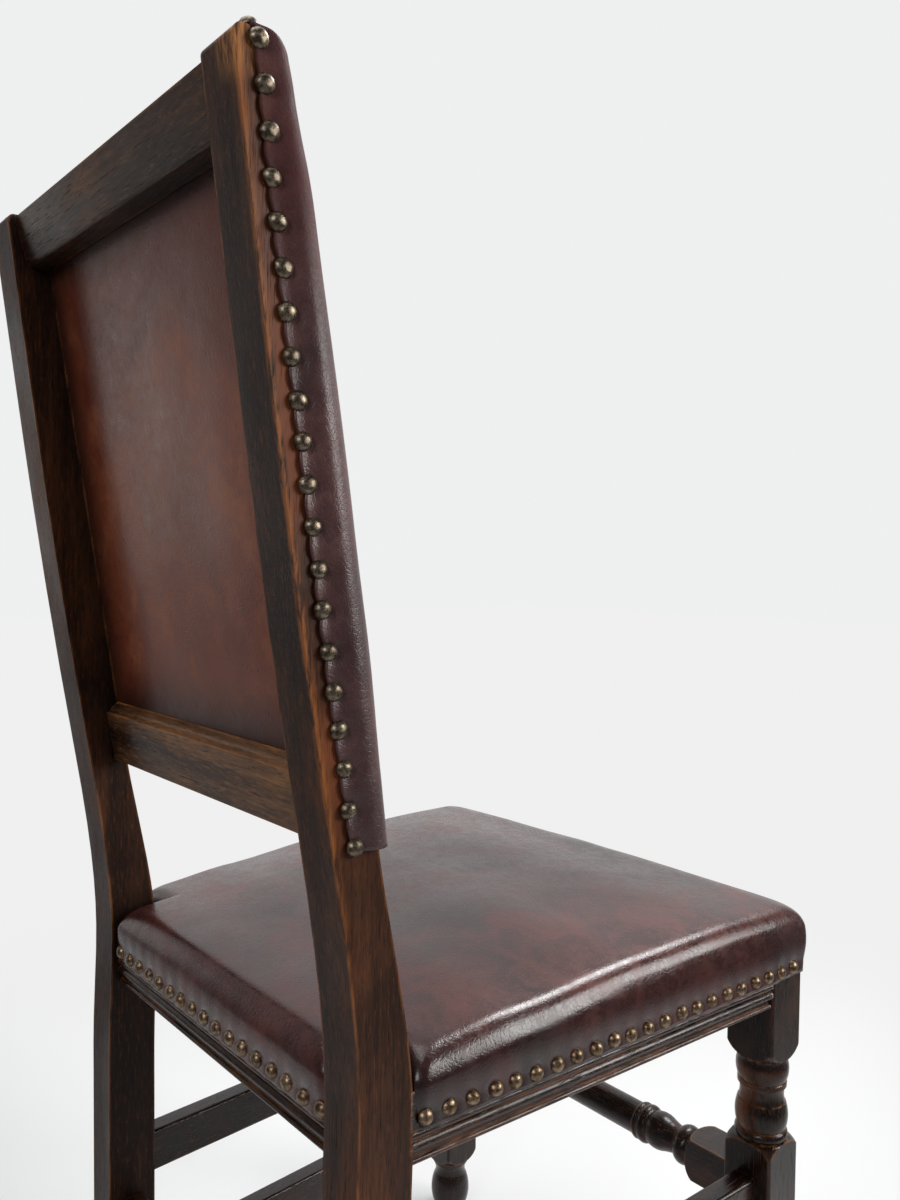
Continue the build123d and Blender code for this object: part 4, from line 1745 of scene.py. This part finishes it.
@dataclass
class SeatSupport:
    """Woven webbing straps and the hessian on them, seen from under the seat."""

    webbing: Material
    hessian: Material
    strap_width: float = 0.052
    strap_thickness: float = 0.00084
    strap_shares: tuple[float, ...] = (0.22, 0.5, 0.78)
    strap_rows: int = 70
    strap_columns: int = 8
    strap_rise: float = 0.001
    strap_inset: float = 0.008
    strap_rear: float = -0.016
    lace: float = 0.0008
    lace_reach: float = 0.024
    cloth_count: int = 60
    cloth_rise: float = 0.0026
    cloth_inset: float = 0.003
    cloth_rear: float = -0.0115
    cloth_leg_depth: float = -0.05
    cloth_leg_inset: float = 0.007
    cloth_thickness: float = 0.0007
    cloth_wave: float = 0.0003
    cloth_pace: float = 20.0

    def strap(self, run: Run, number: int, place: float, crossings: list[float], ends: Span) -> Piece:
        """Make one strap, laced over and under those that it crosses.

        Args:
            run: Which way it runs.
            number: Its number, from 1.
            place: Where its middle lies.
            crossings: Where the others cross it.
            ends: Where it starts and ends.

        Returns:
            The strap.
        """
        points = []
        width = self.strap_width
        for s in spaced(*ends, self.strap_rows):
            lift = 0.0
            for index, crossing in enumerate(crossings):
                over = (index + number + (run is Run.ACROSS)) % 2 == 1
                lift += (1 if over else -1) * self.lace * math.exp(-(((s - crossing) / self.lace_reach) ** 4))
            for w in spaced(place - width / 2, place + width / 2, self.strap_columns):
                x, y = (s, w) if run is Run.ACROSS else (w, s)
                points.append((x, y + PLACES.shift, PLACES.rail_top + self.strap_rise + lift))
        faces = net(self.strap_rows, self.strap_columns)
        made = piece_from(f"webbing_{run.value}_{number}", points, faces, self.webbing)
        thicken(made, self.strap_thickness, 0.0)
        return made

    def straps(self) -> list[Piece]:
        """Lace the straps over and under each other.

        Returns:
            The straps.
        """
        p = PLACES
        front = -p.front_reach + self.strap_inset
        depths = [front + share * (self.strap_rear - front) for share in self.strap_shares]
        places = [(share * 2 - 1) * p.rear_half for share in self.strap_shares]
        made = []
        for number, depth in enumerate(depths, start=1):
            end = p.side(depth) - self.strap_inset
            made.append(self.strap(Run.ACROSS, number, depth, places, (-end, end)))
        for number, place in enumerate(places, start=1):
            made.append(self.strap(Run.ALONG, number, place, depths, (front, self.strap_rear)))
        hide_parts("seat_webbing")
        return made

    def cloth(self) -> Piece:
        """Stretch the hessian over the straps.

        Returns:
            The cloth.
        """
        p = PLACES
        front, level = -p.front_reach + self.cloth_inset, p.rail_top + self.cloth_rise
        points = []
        for y in spaced(front, self.cloth_rear, self.cloth_count):
            wide = y < self.cloth_leg_depth
            half = p.side(y) - self.cloth_inset if wide else p.rear_inner - self.cloth_leg_inset
            for x in spaced(-half, half, self.cloth_count):
                wave = self.cloth_wave * uneven(x * self.cloth_pace, y * self.cloth_pace, 1.0)
                points.append((x, y + p.shift, level + wave))
        faces = net(self.cloth_count, self.cloth_count)
        made = piece_from("hessian_cloth", points, faces, self.hessian)
        thicken(made, self.cloth_thickness, 0.0)
        flat = (2 * p.side(front), self.cloth_rear - front)
        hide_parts("seat_hessian")
        return made


@dataclass
class Timber:
    """The joinery: every timber node keeps its solid and gets eased arrises and its own grain."""

    ease: float = 0.0011
    ease_angle: float = 32.0
    ease_segments: int = 2
    even_weight: int = 80
    weld: float = 0.00001
    bare_drop: float = 0.004

    def near_stile(self, shared: dict[str, object]) -> Material:
        """The finish of the stile nearest the camera, bare at its top corner, with painted light on its outer
        side.

        Args:
            shared: What both stiles share.

        Returns:
            The material.
        """
        p = PLACES
        corner = (-p.rear_half, p.rake(p.top) + p.shift, p.top - self.bare_drop)
        return OakFinish("oak_stile_worn", bare_place=corner, worn_and_lit_stile=True, **shared).material()

    def finishes(self) -> list[tuple[str, Material]]:
        """Build the timber's finishes.

        Returns:
            Pairs of a word in a node's name and its finish, the first that fits being the one used.
        """
        stile = dict(
            grain=Grain.UPRIGHT, dark=shade(34, 18, 11), middle=shade(84, 50, 31), worn=shade(154, 96, 54),
            wear=0.7, roughness=0.42, sheen=0.18,
        )
        front = OakFinish(
            "oak_front_leg", Grain.UPRIGHT, dark=shade(18, 11, 9), middle=shade(42, 25, 18),
            warm=shade(92, 52, 30), roughness=0.25, sheen=0.3, warm_turning=(0.276, 0.338),
        )
        crest = OakFinish(
            "oak_crest", Grain.ACROSS, middle=shade(86, 58, 36), warm=shade(128, 82, 46),
            wear=0.7, roughness=0.38,
        )
        lower = OakFinish(
            "oak_lower_back_rail", Grain.ACROSS, middle=shade(124, 86, 56), warm=shade(168, 114, 68),
            wear=0.95,
        )
        block = OakFinish(
            "glue_block_wood", Grain.UPRIGHT, dark=shade(120, 88, 56), middle=shade(168, 130, 88),
            warm=shade(150, 104, 62), worn=shade(190, 150, 104), wear=0.3, roughness=0.6,
        )
        # The reeds' rubbed arrises are pale and pinkish: partly wear, partly painted highlight along the
        # reeds.
        side = OakFinish(
            "oak_side_rail", Grain.FORE_AND_AFT, dark=shade(22, 12, 10), middle=shade(52, 30, 22),
            worn=shade(176, 124, 96), wear=0.75, roughness=0.24, sheen=0.45,
        )
        cross = OakFinish(
            "oak_cross_rail", Grain.ACROSS, dark=shade(22, 12, 10), middle=shade(50, 28, 20),
            wear=0.45, roughness=0.26, sheen=0.4,
        )
        cross_wood = cross.material()
        return [
            ("rear_leg_right", self.near_stile(stile)),
            ("rear_leg", OakFinish("oak_stile", **stile).material()),
            ("front_leg", front.material()),
            ("crest_rail", crest.material()),
            ("lower_back_rail", lower.material()),
            ("glue_block", block.material()),
            ("side", side.material()),
            ("rail", cross_wood),
            ("stretcher", cross_wood),
        ]

    def dress(self, piece: Piece, finish: Material) -> None:
        """Ease a piece's arrises and lay on its finish.

        Args:
            piece: The timber node.
            finish: Its finish.
        """
        for slot in piece.material_slots:
            slot.material = finish
        joined = piece.modifiers.new("joined", "WELD")
        joined.merge_threshold = self.weld
        eased_edge = piece.modifiers.new("eased", "BEVEL")
        eased_edge.width, eased_edge.segments = self.ease, self.ease_segments
        eased_edge.limit_method, eased_edge.angle_limit = "ANGLE", math.radians(self.ease_angle)
        eased_edge.use_clamp_overlap = True
        eased_edge.harden_normals = False
        evened = piece.modifiers.new("evened", "WEIGHTED_NORMAL")
        evened.keep_sharp = False
        evened.weight = self.even_weight

    def build(self) -> list[Piece]:
        """Dress every timber node.

        Returns:
            The timber nodes.
        """
        finishes = self.finishes()
        dressed = []
        for name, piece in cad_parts.items():
            fitting = [finish for word, finish in finishes if word in name]
            if fitting:
                self.dress(piece, fitting[0])
                dressed.append(piece)
        return dressed


@dataclass
class HiddenLayers:
    """Webbing and hessian inside the back, closed in by the two hides."""

    webbing: Material
    hessian: Material

    def build(self) -> None:
        """Give the closed-in nodes their cloth finishes."""
        for name, finish in (("back_webbing", self.webbing), ("back_hessian", self.hessian)):
            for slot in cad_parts[name].material_slots:
                slot.material = finish


@dataclass(frozen=True)
class Lamp:
    """A plain soft lamp with a rectangular face, turned to the chair."""

    name: str
    place: Point
    size: Span
    power: float
    warm: Colour = (1.0, 1.0, 1.0)
    goal: Point = (0.0, 0.0, 0.6)

    def hang(self) -> None:
        """Hang the lamp."""
        data = bpy.data.lights.new(self.name, "AREA")
        data.shape = "RECTANGLE"
        data.size, data.size_y = self.size
        data.energy, data.color = self.power, self.warm
        made = bpy.data.objects.new(self.name, data)
        made.location = self.place
        made.rotation_mode = "QUATERNION"
        made.rotation_quaternion = (Vector(self.goal) - Vector(self.place)).to_track_quat("-Z", "Y")
        bpy.context.scene.collection.objects.link(made)


@dataclass
class Studio:
    """Floor, camera, room and plain soft lamps."""

    eye: Point = (-0.64659, 0.50240, 0.75721)
    yaw: float = 49.31
    pitch: float = 2.19
    roll: float = 0.60
    lens: float = 29.262
    sensor: float = 36.0
    clip: Span = (0.02, 60.0)
    floor_reach: float = 12.0
    room: Room = Room()
    lamps: tuple[Lamp, ...] = (
        Lamp("ceiling", (-0.1, -1.5, 2.5), (0.8, 0.8), 42),
        Lamp("overhead", (0.3, 0.4, 2.7), (1.4, 1.4), 20),
        Lamp("window", (-2.0, -1.5, 1.5), (1.0, 1.3), 46, (1.0, 0.99, 0.97)),
        Lamp("far_side", (2.1, 0.95, 0.9), (0.9, 0.9), 1.4, (1.0, 0.98, 0.95)),
        Lamp("rear", (-1.0, 2.4, 2.0), (0.9, 0.9), 22, (0.98, 0.99, 1.0)),
    )

    def camera(self) -> None:
        """Stand the camera where the photograph was taken."""
        yaw, pitch, roll = (math.radians(value) for value in (self.yaw, self.pitch, self.roll))
        level = Vector((math.sin(yaw), -math.cos(yaw), 0.0))
        ahead = level * math.cos(pitch) - Vector((0, 0, 1)) * math.sin(pitch)
        right = ahead.cross(Vector((0, 0, 1))).normalized()
        up = right.cross(ahead)
        across = right * math.cos(roll) + up * math.sin(roll)
        over = up * math.cos(roll) - right * math.sin(roll)
        data = bpy.data.cameras.new("camera")
        data.sensor_width, data.lens = self.sensor, self.lens
        data.clip_start, data.clip_end = self.clip
        made = bpy.data.objects.new("camera", data)
        turn = Matrix((across, over, -ahead)).transposed()
        made.matrix_world = Matrix.Translation(self.eye) @ turn.to_4x4()
        bpy.context.scene.collection.objects.link(made)
        bpy.context.scene.camera = made

    def floor(self) -> None:
        """Lay the pale floor."""
        reach = self.floor_reach
        corners = [(-reach, -reach, 0), (reach, -reach, 0), (reach, reach, 0), (-reach, reach, 0)]
        mesh = bpy.data.meshes.new("floor")
        mesh.from_pydata(corners, [], [(0, 1, 2, 3)])
        mesh.materials.append(FloorFinish(self.room).material())
        made = bpy.data.objects.new("floor", mesh)
        bpy.context.scene.collection.objects.link(made)

    def surround(self) -> None:
        """Surround the chair with a plain room, pale on one side and dark behind the camera."""
        world = bpy.data.worlds.new("room")
        bpy.context.scene.world = world
        world.use_nodes = True
        tree = world.node_tree
        tree.nodes.clear()
        out = tree.nodes.new("ShaderNodeOutputWorld")
        light = tree.nodes.new("ShaderNodeBackground")
        room = self.room
        light.inputs["Color"].default_value = room.white
        place = tree.nodes.new("ShaderNodeTexCoord")
        toward = tree.nodes.new("ShaderNodeVectorMath")
        toward.operation = "DOT_PRODUCT"
        toward.inputs[1].default_value = room.pale_way
        tone = tree.nodes.new("ShaderNodeMapRange")
        tone.interpolation_type = "SMOOTHSTEP"
        tone.inputs["From Min"].default_value = room.dark_from
        tone.inputs["From Max"].default_value = room.light_from
        tone.inputs["To Min"].default_value = room.dark
        tone.inputs["To Max"].default_value = room.light
        tree.links.new(place.outputs["Generated"], toward.inputs[0])
        tree.links.new(toward.outputs["Value"], tone.inputs["Value"])
        tree.links.new(tone.outputs["Result"], light.inputs["Strength"])
        tree.links.new(light.outputs[0], out.inputs["Surface"])

    def build(self) -> None:
        """Set up the studio."""
        bpy.context.scene.view_settings.view_transform = "Standard"
        self.camera()
        self.floor()
        self.surround()
        for lamp in self.lamps:
            lamp.hang()


def report(pieces: list[Piece], done: str = "built") -> None:
    """Report finished pieces.

    Args:
        pieces: The pieces.
        done: What was done to them.
    """
    for piece in pieces:
        log.info("%s %s", done, piece.name)


def main() -> None:
    """Dress the chair and light it."""
    logging.basicConfig(level=logging.INFO, format="%(name)s: %(message)s")
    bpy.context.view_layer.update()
    brass = BrassFinish("antique_brass").material()
    # The seat's nails: a warmer brass, and brighter as painted light, since they catch more light than the
    # back's.
    warm_lit_brass = BrassFinish(
        "antique_brass_warm_lit", brown=shade(106, 84, 62), bright=shade(174, 150, 124),
    ).material()
    webbing = ClothFinish("jute_webbing", shade(150, 124, 88), 0.0016).material()
    hessian = ClothFinish("hessian_weave", shade(134, 108, 74), 0.0013).material()
    seat_hide = LeatherFinish(
        "seat_hide", roughness=0.26, sheen=0.52, coat=0.1, lie=0.0002, rubbed_sides=(0.06, 0.19),
    ).material()
    # The back's hide is lighter and greyer than the seat's: painted sheen over the hide's own oxblood.
    back_hide_painted_sheen = LeatherFinish(
        "back_hide_painted_sheen", dark=shade(58, 33, 35), middle=shade(88, 53, 52), light=shade(116, 76, 66),
        roughness=0.42, sheen=0.66, coat=0.0, grain=0.00007, lie=0.0004, dry_above=(0.84, 0.97),
    ).material()
    # The panel carries painted shade close to the timber round it.
    panel_hide = LeatherFinish(
        "panel_hide", dark=shade(92, 42, 28), middle=shade(122, 62, 40), light=shade(150, 90, 56),
        mottle=0.6, roughness=0.33, sheen=0.32, coat=0.1, shade_near_frame=(0.166, 0.632, 0.99),
    ).material()
    report(Timber().build(), "dressed")
    seat = SeatCushion(seat_hide, warm_lit_brass)
    report([seat.build()])
    report(seat.nails())
    back = BackCushion(back_hide_painted_sheen, brass)
    report([back.build()])
    report(back.nails())
    report([BackPanel(panel_hide).build()])
    support = SeatSupport(webbing, hessian)
    report(support.straps())
    report([support.cloth()])
    HiddenLayers(webbing, hessian).build()
    Studio().build()


if __name__ == "__main__":
    main()
